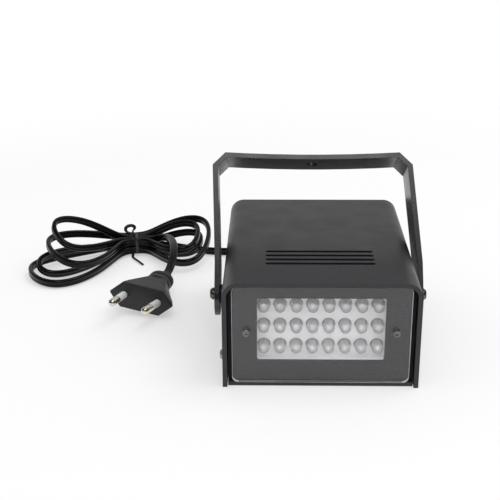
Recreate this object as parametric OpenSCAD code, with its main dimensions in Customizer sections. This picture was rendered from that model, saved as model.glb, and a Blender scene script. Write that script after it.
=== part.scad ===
// Mini LED strobe light: a plastic case on a flat base, tilted by a flat strap yoke,
// with a tied-up flat mains lead and a two-pin plug lying on the floor beside it.
// The front faces -Y, X is to the right and Z is up. The origin is the middle of the base.

/* [Case] */
// Width of the case over its side walls
case_w = 88; // [86:1:110]
// Depth of the case from its front edge to its rear edge
case_d = 112; // [108:1:140]
// Height of the case from the floor to the top of the cover
case_h = 51; // [50:1:64]
// Thickness of the cover's side walls
wall = 2.1; // [1.6:0.1:2.4]
// Thickness of the cover's top
top_t = 2; // [1.6:0.1:2.2]
// Radius along the two long top edges
edge_r = 7; // [4:0.5:8]
// Thickness of the base plate
base_t = 2; // [1.6:0.1:2]
// Thickness of the rear panel
panel_t = 2.5; // [2:0.1:3]
// How far the lens and the rear panel stand back from the cover's edges
panel_inset = 1; // [0.8:0.1:1.5]
// Gap between the cover and what slides into it
fit_gap = 0.3; // [0.2:0.05:0.4]

/* [Vents] */
// Number of slots in the top
vent_n = 4; // [2:1:6]
// Distance from one slot to the next
vent_pitch = 4.9; // [4.4:0.1:6]
// Length of a slot over its round ends
vent_l = 50; // [30:1:60]
// Width of a slot
vent_w = 2.4; // [1.6:0.1:3]
// Distance from the front edge to the first slot
vent_start = 22.8; // [18:0.2:30]

/* [Front] */
// Thickness of the clear front plate
lens_t = 2.5; // [2:0.1:3]
// Gap at each side of the clear plate
lens_side = 2.2; // [1.5:0.1:3]
// Corner radius of the clear plate
lens_r = 2.8; // [2:0.1:4]
// Thickness of the dark mask behind the clear plate
mask_t = 1.5; // [1.2:0.1:2]
// Width of the mask's window
window_w = 57; // [56:0.5:60]
// Height of the mask's window
window_h = 30.6; // [28:0.2:33]
// Height of the window's middle above the floor
window_z = 27.4; // [26:0.2:29]
// Distance from one lens screw to the other
lens_screw_span = 66.6; // [65:0.2:68]
// Distance between the mask screws, across
mask_screw_span = 67.8; // [66:0.2:70]
// Distance between the mask screws, up and down
mask_screw_rise = 40; // [38:0.5:41]

/* [LEDs] */
// LEDs in a row
led_cols = 8; // [4:1:8]
// Rows of LEDs
led_rows = 3; // [1:1:3]
// Distance between LEDs in a row
led_pitch = 7.3; // [7:0.1:7.4]
// Distance between the rows
row_pitch = 10.1; // [8:0.1:10.4]
// Diameter of an LED's body
led_d = 5; // [3:0.5:5]
// Length of an LED from its flange's back to its dome
led_l = 8.6; // [8:0.1:9]

/* [Yoke] */
// Width of the strap
yoke_w = 18.5; // [14:0.5:20]
// Thickness of the strap
yoke_t = 2.5; // [2:0.1:3]
// Distance from the pivot to the outer face of the crossbar
yoke_l = 67.5; // [64:0.5:85]
// Gap between the case and each arm, filled by a washer
yoke_gap = 2.5; // [2.4:0.1:4]
// Size of the slanted corners
yoke_c = 6.1; // [4:0.1:8]
// Lean of the yoke towards the rear, in degrees
yoke_lean = 32.6; // [0:0.2:50]
// How far the left arm leans out at its top
splay_left = 1.6; // [0:0.1:3]
// How far the right arm leans in at its top
splay_right = 3.6; // [0:0.1:3.6]
// Sag of the crossbar in its middle
yoke_sag = 1.2; // [0:0.1:1.5]
// Hole for the hanging bolt in the crossbar
yoke_hole_d = 5.4; // [4:0.1:6.5]
// Distance from the case's front edge to the pivot
pivot_back = 40.5; // [38:0.5:46]
// Height of the pivot above the floor
pivot_z = 28; // [26:0.5:30]

/* [Fasteners] */
// Thread diameter of the pivot screws
pivot_d = 3; // [2.5:0.1:4]
// Head diameter of the pivot screws
pivot_head_d = 5.8; // [5:0.1:7]
// Head height of the pivot screws
pivot_head_h = 2.4; // [1.8:0.1:2.6]
// Outer diameter of the friction washers
washer_d = 9; // [7:0.2:10]
// Radial clearance of the yoke and the knob's shaft on their bearings
run_gap = 0.05; // [0.02:0.01:0.09]
// Radial clearance of a screw in its own threads
thread_gap = 0.05; // [0.02:0.01:0.08]
// Thread diameter of the cover screws
cover_d = 2.8; // [2.5:0.1:3]
// Distance from the case's end to the cover screws
cover_back = 15; // [14:0.5:15]
// Height of the cover screws above the floor
cover_z = 8.8; // [8:0.2:9.4]

/* [Speed control] */
// Diameter of the knob
knob_d = 15; // [12:0.5:18]
// Length of the knob
knob_l = 10.5; // [9:0.5:14]
// Diameter of the knob's shaft
shaft_d = 6; // [5:0.1:6]
// Distance of the knob from the middle of the rear panel
knob_x = 22; // [18:0.5:24]
// Height of the knob above the floor
knob_z = 27; // [26:0.5:30]

/* [Mains lead] */
// Width of the flat twin lead
lead_w = 4.6; // [4.2:0.1:4.8]
// Thickness of the flat twin lead
lead_t = 2.6; // [2.2:0.1:2.7]
// Distance of the strain relief from the middle of the rear panel, to the left
gland_x = 22; // [20:0.5:24]
// Height of the strain relief above the floor
gland_z = 11; // [10.5:0.5:12]
// Diameter of the strain relief where it passes through the panel
gland_d = 9.8; // [8:0.2:10.2]
// Length of the tapered boot outside the panel
boot_l = 22; // [20:0.5:22]

/* [Hidden] */
$fn = 48;

front_y = -case_d / 2;
rear_y = case_d / 2;
in_w = case_w / 2 - wall;
in_h = case_h - top_t;
in_r = max(edge_r - wall, 1);

// Stack behind the front edge, from the lens to the LED board
lens_y = front_y + panel_inset;
// The plate's corners stay clear of the rounded corners inside the cover
lens_corner = max(lens_r, in_r - lens_side + 0.1);
mask_y = lens_y + lens_t;
tray_y = mask_y + mask_t;
tray_pocket = 6.1;
tray_skin = 1.5;
tray_back = tray_y + tray_pocket + tray_skin;
flange_t = 1;
flange_d = led_d + 0.8;
dome_out = 6.6;
led_front = tray_y + tray_pocket - dome_out;
led_back = led_front + led_l;
led_board_t = 1.6;
// The LEDs stand a little below the window's middle
led_z = window_z - 0.6;
lens_screw_d = 2;
lens_screw_z = 26.8;
boss_x = (led_cols - 1) / 2 * led_pitch + 6.3;
boss_z = (led_rows - 1) / 2 * row_pitch + 5.6;
led_spots = [
  for (i = [0 : led_cols - 1]) for (j = [0 : led_rows - 1])
  [(i - (led_cols - 1) / 2) * led_pitch, led_z + (j - (led_rows - 1) / 2) * row_pitch]
];

// Side blocks that take the cover screws and the base screws
block_w = 6;
block_l = 13.5;
block_h = 11;
base_screw_d = 2.5;
panel_out = rear_y - panel_inset;
panel_in = panel_out - panel_t;
cover_len = 8;
block_x = in_w - fit_gap - block_w;
base_screw_x = block_x + block_w / 2;
front_cover_y = front_y + cover_back;
rear_cover_y = rear_y - cover_back;
front_block_y = tray_y + 4.5;
front_base_y = front_block_y + block_l - 3;
rear_base_y = panel_in - block_l + 3;

// Control board on its standoffs
board_w = 60;
board_l = 50;
board_t = 1.6;
board_x = -2;
board_y = rear_y - 41;
board_z = base_t + 6;
deck = board_z + board_t;
stand_x = board_w / 2 - 4;
stand_y = board_l / 2 - 4;
stand_spots = [for (i = [-1, 1]) for (j = [-1, 1]) [board_x + i * stand_x, board_y + j * stand_y]];

// Pivot stack at each side, from the wall outwards
pivot_y = front_y + pivot_back;
arm_in = case_w / 2 + yoke_gap;
arm_out = arm_in + yoke_t;
nut_t = 2.4;
nut_af = 5.5;

// Speed control, from the inside outwards
pot_d = 16;
pot_l = 8;
bush_d = 7;
bush_out = 3.4;
knob_back = panel_out + 2.6;
shaft_end = knob_back + knob_l - 2;

// Plug: the face's middle, its turn about the vertical, its nose-up tilt and its roll
plug_at = [-89.8, 18.1, 9.7];
plug_turn = 166.6;
plug_tilt = 10.6;
plug_roll = 7.7;
pin_span = 18.6;
pin_l = 19;
pin_d = 4;
sleeve_l = 10;
sleeve_d = 3.9;
plug_long = 38;

module rounded(w, h, r) {
  // An upright rectangle standing on the X axis with four rounded corners
  translate([-w / 2, r]) square([w, h - 2 * r]);
  translate([-w / 2 + r, 0]) square([w - 2 * r, h]);
  for (x = [-1, 1]) for (z = [r, h - r]) translate([x * (w / 2 - r), z]) circle(r);
}

module arched(w, h, r) {
  // An upright rectangle standing on the X axis with its two top corners rounded
  translate([-w / 2, 0]) square([w, h - r]);
  translate([-w / 2 + r, 0]) square([w - 2 * r, h]);
  for (x = [-1, 1]) translate([x * (w / 2 - r), h - r]) circle(r);
}

module upright(y, t) {
  // An outline drawn in X and Z, made t thick from y towards the rear
  translate([0, y + t, 0]) rotate([90, 0, 0]) linear_extrude(t) children();
}

module along_x(x0, x1, d) {
  translate([min(x0, x1), 0, 0]) rotate([0, 90, 0]) cylinder(h = abs(x1 - x0), d = d);
}

module along_y(y0, y1, d) {
  translate([0, max(y0, y1), 0]) rotate([90, 0, 0]) cylinder(h = abs(y1 - y0), d = d);
}

module cross(s, depth) {
  // A cross recess cut down from z = 0
  for (a = [0, 90]) rotate([0, 0, a]) translate([-s / 2, -s / 8, -depth]) cube([s, s / 4, depth + 1]);
}

module pan_screw(d, l, head_d, head_h) {
  // A pan-head screw with its seat at z = 0, the shank down and the head up
  difference() {
    union() {
      translate([0, 0, -l]) cylinder(h = l, d = d);
      cylinder(h = head_h * 0.55, d = head_d);
      translate([0, 0, head_h * 0.55]) cylinder(h = head_h * 0.45, d1 = head_d, d2 = head_d * 0.7);
    }
    translate([0, 0, head_h]) cross(head_d * 0.55, head_h * 0.55);
  }
}

module flat_screw(d, l, head_d) {
  // A countersunk screw with its top at z = 0 and the shank down
  difference() {
    union() {
      translate([0, 0, -l]) cylinder(h = l, d = d);
      translate([0, 0, -(head_d - d) / 2]) cylinder(h = (head_d - d) / 2, d1 = d, d2 = head_d);
    }
    cross(head_d * 0.6, head_d * 0.15);
  }
}

// ---- case

module top_cover() {
  color("#1b1b1d") difference() {
    upright(front_y, case_d) arched(case_w, case_h, edge_r);
    upright(front_y - 1, case_d + 2) translate([0, -1]) arched(2 * in_w, in_h + 1, in_r);
    for (k = [0 : vent_n - 1]) translate([0, front_y + vent_start + k * vent_pitch, in_h - 1]) vent();
    for (s = [-1, 1]) {
      translate([0, pivot_y, pivot_z]) along_x(s * (in_w - 1), s * (case_w / 2 + 1), pivot_d + 0.3);
      for (y = [front_cover_y, rear_cover_y]) {
        translate([0, y, cover_z]) along_x(s * (in_w - 1), s * (case_w / 2 + 1), cover_d + 0.3);
      }
    }
  }
}

module vent() {
  translate([-(vent_l - vent_w) / 2, -vent_w / 2, 0]) cube([vent_l - vent_w, vent_w, top_t + 2]);
  for (s = [-1, 1]) translate([s * (vent_l - vent_w) / 2, 0, 0]) cylinder(h = top_t + 2, d = vent_w);
}

module base_plate() {
  color("#202022") difference() {
    translate([-in_w + fit_gap, front_y + 0.6 + panel_inset, 0]) {
      cube([2 * (in_w - fit_gap), case_d - 0.6 - 2 * panel_inset, base_t]);
    }
    for (s = [-1, 1]) for (y = [front_base_y, rear_base_y]) translate([s * base_screw_x, y, 0]) {
      translate([0, 0, -1]) cylinder(h = base_t + 2, d = base_screw_d + 0.2);
      translate([0, 0, -0.01]) cylinder(h = 1.26, d1 = 5.12, d2 = 2.6);
    }
    for (p = stand_spots) translate([p[0], p[1], -1]) cylinder(h = base_t + 2, d = 2.4 + 2 * thread_gap);
  }
}

module side_blocks(y, base_y, cover_y) {
  // Two blocks beside the walls, with pilot holes for a cover screw and a base screw each
  for (s = [-1, 1]) difference() {
    translate([s > 0 ? block_x : -block_x - block_w, y, base_t]) cube([block_w, block_l, block_h]);
    translate([0, cover_y, cover_z]) along_x(s * (block_x - 1), s * (block_x + block_w + 1), cover_d + 2 * thread_gap);
    translate([s * base_screw_x, base_y, base_t - 1]) cylinder(h = 6, d = base_screw_d + 2 * thread_gap);
  }
}

module rear_panel() {
  color("#242426") {
    difference() {
      upright(panel_in, panel_t) translate([0, base_t]) {
        arched(2 * (in_w - fit_gap), in_h - fit_gap - base_t, in_r);
      }
      translate([-gland_x, 0, gland_z]) along_y(panel_in - 1, panel_out + 1, gland_d + 0.2);
      translate([knob_x, 0, knob_z]) along_y(panel_in - 1, panel_out + 1, bush_d + 0.2);
    }
    side_blocks(panel_in - block_l, rear_base_y, rear_cover_y);
  }
}

module front_lens() {
  color("#cfd8dc") difference() {
    upright(lens_y, lens_t) translate([0, base_t]) {
      rounded(2 * (in_w - lens_side), in_h - base_t, lens_corner);
    }
    for (s = [-1, 1]) translate([s * lens_screw_span / 2, 0, lens_screw_z]) {
      along_y(lens_y - 1, mask_y + 1, lens_screw_d + 0.2);
    }
  }
}

module front_mask() {
  color("#303034") difference() {
    upright(mask_y, mask_t) translate([0, base_t]) {
      arched(2 * (in_w - fit_gap), in_h - fit_gap - base_t, in_r);
    }
    upright(mask_y - 1, mask_t + 2) translate([0, window_z - window_h / 2]) rounded(window_w, window_h, 1);
    for (s = [-1, 1]) {
      translate([s * lens_screw_span / 2, 0, lens_screw_z]) along_y(mask_y - 1, tray_y + 1, lens_screw_d + 0.2);
      for (u = [-1, 1]) translate([s * mask_screw_span / 2, mask_y, window_z - 0.7 + u * mask_screw_rise / 2]) {
        rotate([-90, 0, 0]) {
          translate([0, 0, -0.01]) cylinder(h = 0.91, d1 = 3.92, d2 = 2.1);
          cylinder(h = 3, d = 2.2);
        }
      }
    }
  }
}

module lens_screws() {
  color("#9a9a9c") for (s = [-1, 1]) translate([s * lens_screw_span / 2, lens_y, lens_screw_z]) {
    rotate([90, 0, 0]) difference() {
      union() {
        translate([0, 0, -7]) cylinder(h = 7, d = lens_screw_d);
        cylinder(h = 0.9, d = 3.2);
      }
      translate([0, 0, 0.3]) cylinder(h = 2, d = 1.6);
    }
  }
}

module mask_screws() {
  color("#3c3c40") for (s = [-1, 1]) for (u = [-1, 1]) {
    translate([s * mask_screw_span / 2, mask_y, window_z - 0.7 + u * mask_screw_rise / 2]) {
      rotate([90, 0, 0]) flat_screw(2, 5.5, 3.8);
    }
  }
}

module cover_screws() {
  color("#2c2c2e") for (s = [-1, 1]) for (y = [front_cover_y, rear_cover_y]) {
    translate([s * case_w / 2, y, cover_z]) rotate([0, s * 90, 0]) pan_screw(cover_d, cover_len, 4.8, 1.8);
  }
}

module base_screws() {
  color("#77777a") for (s = [-1, 1]) for (y = [front_base_y, rear_base_y]) {
    translate([s * base_screw_x, y, 0]) rotate([180, 0, 0]) flat_screw(base_screw_d, 6.5, 5);
  }
}

// ---- LEDs

module reflector_tray() {
  color("#d9dadb") {
    difference() {
      upright(tray_y, tray_pocket + tray_skin) translate([0, base_t]) {
        arched(2 * (in_w - fit_gap), in_h - fit_gap - base_t, in_r);
      }
      upright(tray_y - 1, tray_pocket + 1) translate([0, window_z - window_h / 2 - 1.6]) {
        rounded(window_w + 4, window_h + 3.2, 2);
      }
      for (p = led_spots) translate([p[0], 0, p[1]]) {
        along_y(tray_y, tray_back + 1, flange_d + 0.3);
      }
      for (s = [-1, 1]) for (u = [-1, 1]) translate([s * boss_x, 0, led_z + u * boss_z]) {
        along_y(led_back - 3.1, led_back + 1, 2.2 + 2 * thread_gap);
      }
      for (s = [-1, 1]) {
        translate([s * lens_screw_span / 2, 0, lens_screw_z]) {
          along_y(tray_y - 1, tray_back + 1, lens_screw_d + 2 * thread_gap);
        }
        for (u = [-1, 1]) translate([s * mask_screw_span / 2, 0, window_z - 0.7 + u * mask_screw_rise / 2]) {
          along_y(tray_y - 1, tray_back + 1, 2 + 2 * thread_gap);
        }
      }
    }
    for (s = [-1, 1]) for (u = [-1, 1]) translate([s * boss_x, 0, led_z + u * boss_z]) difference() {
      along_y(tray_back, led_back, 4.4);
      along_y(led_back - 3.1, led_back + 1, 2.2 + 2 * thread_gap);
    }
    side_blocks(front_block_y, front_base_y, front_cover_y);
  }
}

module leds() {
  color("#f4f6f2") for (p = led_spots) translate([p[0], 0, p[1]]) {
    along_y(led_front + led_d / 2, led_back, led_d);
    translate([0, led_front + led_d / 2, 0]) sphere(d = led_d);
    along_y(led_back - flange_t, led_back, flange_d);
  }
}

module led_pins() {
  color("#c9c9c6") for (p = led_spots) for (s = [-1, 1]) {
    translate([p[0] + s * 1.27 - 0.25, led_back, p[1] - 0.25]) cube([0.5, led_board_t + 2, 0.5]);
  }
}

module led_board() {
  color("#2f6b3c") difference() {
    translate([-boss_x - 2.5, led_back, led_z - boss_z - 3]) cube([2 * boss_x + 5, led_board_t, 2 * boss_z + 6]);
    for (s = [-1, 1]) for (u = [-1, 1]) translate([s * boss_x, 0, led_z + u * boss_z]) {
      along_y(led_back - 1, led_back + led_board_t + 1, 2.4);
    }
    for (p = led_spots) for (s = [-1, 1]) translate([p[0] + s * 1.27, 0, p[1]]) {
      along_y(led_back - 1, led_back + led_board_t + 1, 0.9);
    }
  }
}

module led_board_screws() {
  color("#8a8a8c") for (s = [-1, 1]) for (u = [-1, 1]) {
    translate([s * boss_x, led_back + led_board_t, led_z + u * boss_z]) rotate([-90, 0, 0]) {
      pan_screw(2.2, led_board_t + 2.6, 4, 1.5);
    }
  }
}

// ---- control electronics

module control_board() {
  color("#2f6b3c") difference() {
    translate([board_x - board_w / 2, board_y - board_l / 2, board_z]) cube([board_w, board_l, board_t]);
    for (p = stand_spots) translate([p[0], p[1], board_z - 1]) cylinder(h = board_t + 2, d = 2.6);
  }
}

module board_standoffs() {
  color("#c8b46a") for (p = stand_spots) translate([p[0], p[1], base_t]) difference() {
    cylinder(h = board_z - base_t, d = 5);
    translate([0, 0, -1]) cylinder(h = board_z, d = 2.6);
  }
}

module board_screws() {
  color("#8a8a8c") for (p = stand_spots) translate([p[0], p[1], deck]) pan_screw(2.4, deck - 0.4, 4.4, 1.7);
}

module mains_terminal() {
  color("#3d7a4a") translate([board_x - 22, board_y + 14, deck]) difference() {
    cube([10, 9, 10]);
    for (x = [2.5, 7.5]) {
      translate([x, 4.5, 7.5]) cylinder(h = 3, d = 3.4);
      translate([x, 0, 4.4]) along_y(-1, 4, 2.4);
    }
  }
}

module fuse() {
  color("#d8dcdc") translate([board_x + 2, board_y + 17, deck + 4.6]) {
    along_x(-10, 10, 4.9);
    for (s = [-1, 1]) along_x(s * 5.2, s * 10, 5.2);
  }
}

module fuse_clips() {
  color("#b9a25a") for (s = [-1, 1]) translate([board_x + 2 + s * 7.6, board_y + 17, deck]) difference() {
    translate([-1.8, -4, 0]) cube([3.6, 8, 5.4]);
    translate([0, 0, 4.6]) along_x(-3, 3, 5.3);
    translate([-3, -1.9, 4.6]) cube([6, 3.8, 3]);
  }
}

module dropper_capacitor() {
  color("#b8452c") translate([board_x - 27, board_y - 2, deck]) cube([18, 7.5, 14]);
}

module smoothing_capacitor() {
  color("#26355c") translate([board_x + 20, board_y - 8, deck]) {
    cylinder(h = 14.5, d = 10);
    cylinder(h = 2, d = 10.4);
    translate([0, 0, 14.5]) cylinder(h = 0.8, d1 = 10, d2 = 8.6);
  }
}

module axial(l, d, span) {
  // A small axial part held off the board by its two bent leads
  translate([0, 0, 2.2]) {
    along_x(-l / 2, l / 2, d);
    along_x(-span / 2 - 0.3, span / 2 + 0.3, 0.6);
  }
  for (s = [-1, 1]) translate([s * span / 2, 0, 0]) cylinder(h = 2.2, d = 0.6);
}

module rectifier_diodes() {
  color("#1d1d1f") for (k = [0 : 3]) translate([board_x + 2, board_y + 9.5 - 4.2 * k, deck]) axial(5, 2.6, 9);
}

module resistors() {
  color("#c9a878") {
    for (k = [0 : 2]) translate([board_x + 18, board_y + 10 - 4 * k, deck]) axial(6, 2.4, 10);
    translate([board_x - 6, board_y - 20.5, deck]) axial(6, 2.4, 10);
  }
}

module switching_transistor() {
  color("#2a2a2c") translate([board_x - 20, board_y - 12, deck]) {
    for (k = [-1 : 1]) translate([2.54 * k - 0.4, -0.25, 0]) cube([0.8, 0.5, 4]);
    translate([-5, -2.2, 4]) cube([10, 4.4, 9]);
    difference() {
      translate([-5, 0.9, 13]) cube([10, 1.3, 6.4]);
      translate([0, 0, 16.4]) along_y(0, 3, 3.6);
    }
  }
}

module timer_chip() {
  color("#18181a") translate([board_x + 2, board_y - 13, deck]) {
    translate([-4.8, -3.2, 0.6]) cube([9.6, 6.4, 3.3]);
    for (k = [-1.5 : 1 : 1.5]) for (s = [-1, 1]) {
      translate([2.54 * k - 0.4, s > 0 ? 3.2 : -3.6, 0]) cube([0.8, 0.4, 2.4]);
    }
  }
}

// ---- speed control

module speed_pot() {
  color("#8d8f92") translate([knob_x, 0, knob_z]) {
    difference() {
      union() {
        along_y(panel_in - pot_l, panel_in, pot_d);
        along_y(panel_in, panel_out + bush_out, bush_d);
      }
      along_y(panel_in - pot_l + 2, panel_out + bush_out + 1, shaft_d + 2 * run_gap);
    }
    for (k = [-1 : 1]) translate([4 * k - 0.6, panel_in - pot_l + 2.4, -11]) cube([1.2, 0.8, 4.6]);
  }
}

module pot_nut() {
  color("#b5b6b8") translate([knob_x, 0, knob_z]) difference() {
    translate([0, panel_out + 2, 0]) rotate([90, 0, 0]) cylinder(h = 2, d = 10 / cos(30), $fn = 6);
    along_y(panel_out - 1, panel_out + 3, bush_d + 2 * thread_gap);
  }
}

module pot_shaft() {
  color("#a9abad") translate([knob_x, 0, knob_z]) along_y(panel_in - pot_l + 2.2, shaft_end, shaft_d);
}

module speed_knob() {
  color("#161618") translate([knob_x, 0, knob_z]) difference() {
    union() {
      along_y(knob_back, knob_back + 2.5, knob_d);
      along_y(knob_back + 2.5, knob_back + knob_l, knob_d - 2.4);
    }
    along_y(knob_back + 1, shaft_end + 0.1, shaft_d + 2 * thread_gap);
    along_y(knob_back - 1, knob_back + 2, bush_d + 1.6);
    for (k = [0 : 17]) rotate([0, k * 20, 0]) translate([knob_d / 2 - 0.9, 0, 0]) {
      along_y(knob_back + 3.5, knob_back + knob_l + 1, 1.2);
    }
    translate([-0.5, knob_back + knob_l - 0.6, 1]) cube([1, 2, knob_d]);
  }
}

// ---- yoke and its pivots

function unit(v) = v / norm(v);
function left_of(v) = [-v[1], v[0]];
// The point where two edges of an outline meet after both move d to their left
function mitre(a, b, c, d) =
  let (m = left_of(unit(b - a)), n = left_of(unit(c - b)), h = m + n) b + d * h / (1 + m * n);
function inset(p, d) = [
  for (i = [0 : len(p) - 1])
  i == 0 ? p[0] + d * left_of(unit(p[1] - p[0])) :
  i == len(p) - 1 ? p[i] + d * left_of(unit(p[i] - p[i - 1])) :
  mitre(p[i - 1], p[i], p[i + 1], d)
];

// Where the arms stop running along the walls and start to lean
lean_from = 14;
bar_right = arm_out - splay_right - yoke_c;
bar_left = -arm_out - splay_left + yoke_c;
bar_mid = (bar_right + bar_left) / 2;
bar_half = (bar_right - bar_left) / 2;
strap = concat(
  [[arm_out, lean_from - 6], [arm_out, lean_from], [arm_out - splay_right, yoke_l - yoke_c], [bar_right, yoke_l]],
  [for (u = [0.75, 0.45, 0.14, -0.14, -0.45, -0.75]) [bar_mid + u * bar_half, yoke_l - yoke_sag * (1 - u * u)]],
  [[bar_left, yoke_l], [-arm_out - splay_left, yoke_l - yoke_c], [-arm_out, lean_from], [-arm_out, lean_from - 6]]
);
strap_in = inset(strap, yoke_t);
strap_n = len(strap);

module yoke() {
  color("#1c1c1e") translate([0, pivot_y, pivot_z]) rotate([-yoke_lean, 0, 0]) {
    difference() {
      rotate([90, 0, 0]) linear_extrude(yoke_w, center = true) {
        polygon(concat(strap, [for (i = [strap_n - 1 : -1 : 0]) strap_in[i]]));
      }
      translate([bar_mid, 0, yoke_l - 8]) cylinder(h = 12, d = yoke_hole_d);
    }
    for (s = [-1, 1]) translate([s > 0 ? arm_in : -arm_out, 0, 0]) difference() {
      union() {
        translate([0, -yoke_w / 2, -1.05]) cube([yoke_t, yoke_w, lean_from - 5 + 1.05]);
        translate([0, 0, -1.05]) along_x(0, yoke_t, yoke_w);
      }
      along_x(-1, yoke_t + 1, pivot_d + 2 * run_gap);
    }
  }
}

module pivot_screws() {
  color("#b9b9b6") for (s = [-1, 1]) translate([s * arm_out, pivot_y, pivot_z]) {
    rotate([0, s * 90, 0]) pan_screw(pivot_d, arm_out - in_w + nut_t + 1, pivot_head_d, pivot_head_h);
  }
}

module pivot_washers() {
  color("#2a2a2c") for (s = [-1, 1]) translate([0, pivot_y, pivot_z]) difference() {
    along_x(s * case_w / 2, s * arm_in, washer_d);
    along_x(s * (case_w / 2 - 1), s * (arm_in + 1), pivot_d + 0.3);
  }
}

module pivot_nuts() {
  color("#b9b9b6") for (s = [-1, 1]) translate([0, pivot_y, pivot_z]) difference() {
    translate([s > 0 ? in_w - nut_t : -in_w, 0, 0]) rotate([0, 90, 0]) {
      cylinder(h = nut_t, d = nut_af / cos(30), $fn = 6);
    }
    along_x(s * (in_w - nut_t - 1), s * (in_w + 1), pivot_d + 2 * thread_gap);
  }
}

// ---- swept tubes

function cubic(p, k, f) =
  let (g = 1 - f) (g * g * g * p[k] + (3 * f * f * f - 6 * f * f + 4) * p[k + 1]
    + (-3 * f * f * f + 3 * f * f + 3 * f + 1) * p[k + 2] + f * f * f * p[k + 3]) / 6;
function slope(p, k, f) =
  (-(1 - f) * (1 - f) * p[k] + (3 * f * f - 4 * f) * p[k + 1]
    + (-3 * f * f + 2 * f + 1) * p[k + 2] + f * f * p[k + 3]) / 2;
function span_of(p, t) = min(floor(t), len(p) - 4);
function on(p, t) = cubic(p, span_of(p, t), t - span_of(p, t));
function along(p, t) = unit(slope(p, span_of(p, t), t - span_of(p, t)));
// A run of points with one more at each end, so that the curve starts and ends on it
function ends(p) = concat([2 * p[0] - p[1]], p, [2 * p[len(p) - 1] - p[len(p) - 2]]);
function square_to(n, t) = unit(n - (n * t) * t);
// One ring: the section's first number runs along the wide axis, the second across it
function ring(c, n, t, sec) = let (b = cross3(t, n)) [for (s = sec) c + s[0] * n + s[1] * b];
function cross3(a, b) = [a[1] * b[2] - a[2] * b[1], a[2] * b[0] - a[0] * b[2], a[0] * b[1] - a[1] * b[0]];
function steps(a, b, n) = [for (i = [0 : n]) a + (b - a) * i / n];

module tube(p, w, n, sec) {
  // Sweeps a section along the curve through the points p with the wide axis w, in n steps
  m = len(sec);
  ts = steps(0, len(p) - 3, n);
  pts = [for (t = ts) each ring(on(p, t), square_to(on(w, t), along(p, t)), along(p, t), sec)];
  sides = [for (i = [0 : n - 1]) for (j = [0 : m - 1]) let (a = i * m + j, b = i * m + (j + 1) % m)
    each [[a, b + m, b], [a, a + m, b + m]]];
  first = [for (j = [1 : m - 2]) [0, j, j + 1]];
  last = [for (j = [1 : m - 2]) [n * m, n * m + j + 1, n * m + j]];
  polyhedron(concat(pts), concat(sides, first, last), convexity = 10);
}

module wire(p, d, n) {
  q = ends(p);
  tube(q, [for (v = q) [0.31, 0.23, 0.92]], n, [for (k = [0 : 7]) d / 2 * [cos(k * 45), sin(k * 45)]]);
}

module mains_wires() {
  color("#7a4a2c") for (s = [-1, 1]) {
    t = [board_x - 17 + 2.5 * s, board_y + 23, deck + 4.4];
    g = [-gland_x + 2.2 * s, panel_in - 1.6, gland_z];
    wire([g, g - [0, 3, 0], g - [0, 5, -1], t + [0, 5, 0], t + [0, 3, 0], t], 1.6, 12);
  }
}

module led_wires() {
  color("#a33a30") for (s = [-1, 1]) {
    b = [board_x + 3 * s, board_y - board_l / 2 + 2, deck];
    e = [3 * s, led_back + led_board_t, led_z - boss_z - 0.8];
    wire([b, b + [0, 0, 2.4], b + [0, -4, 5], e + [0, 12, 1.5], e + [0, 5, 0], e + [0, 2.4, 0], e], 1.2, 16);
  }
}

module pot_wires() {
  color("#c9b23a") for (k = [-1 : 1]) {
    l = [knob_x + 4 * k, panel_in - pot_l + 2.8, knob_z - 11];
    b = [board_x + 20 + 3 * k, board_y + board_l / 2 - 6, deck];
    wire([l, l - [0, 0, 1.6], l - [0, 2.5, 2.4], b + [0, 2, 3], b + [0, 0, 2], b], 1, 12);
  }
}

// ---- mains lead

module strain_relief() {
  color("#161618") translate([-gland_x, 0, gland_z]) {
    along_y(panel_in - 1.6, panel_in, gland_d + 1.6);
    along_y(panel_in, panel_out, gland_d);
    along_y(panel_out, panel_out + 1.8, gland_d + 2.8);
    translate([0, panel_out + 1.8, 0]) rotate([-90, 0, 0]) cylinder(h = boot_l - 1.8, d1 = 8.4, d2 = 6.4);
    for (k = [0 : 3]) along_y(panel_out + 5 + 4 * k, panel_out + 7 + 4 * k, 9.2 - 0.45 * k);
  }
}

// The tied bundle lies behind and to the left of the case. Its strands stand on edge in
// two rows of four columns at the tie, and open into four loops to the left and three
// to the right. All of these are round sizes in millimetres and degrees.
tie_at = [-104, 107, 0];
waist_a = 10;
left_a = 216;
right_a = -6;
col = 3.3;
row = 5.2;
floor_z = 2.4;
waist_up = 0.9;
// Column and row of each pass through the tie, in the order that the lead takes
SLOTS = [[0.5, 0], [-0.5, 0], [1.5, 0], [-1.5, 0], [1.5, 1], [-1.5, 1], [0.5, 1], [-0.5, 1]];
// Reach, front half width, back half width, tilt and lift of each loop
LEFT = [[58, 13, 8, 20, 0], [63, 27, 13, 2, 0], [50, 24, 18, 9, 2], [46, 10, 16, 32, 8]];
RIGHT = [[37, 13, 13, 13, 3], [42, 30, 18, 14, 1], [36, 20, 12, 14, 2]];

function dir(a) = [cos(a), sin(a), 0];
UP = [0, 0, 1];
function slot(k, s) = [
  tie_at + s * dir(waist_a) + SLOTS[k][0] * col * dir(waist_a + 90) + [0, 0, floor_z + waist_up + row * SLOTS[k][1]],
  UP
];
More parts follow.
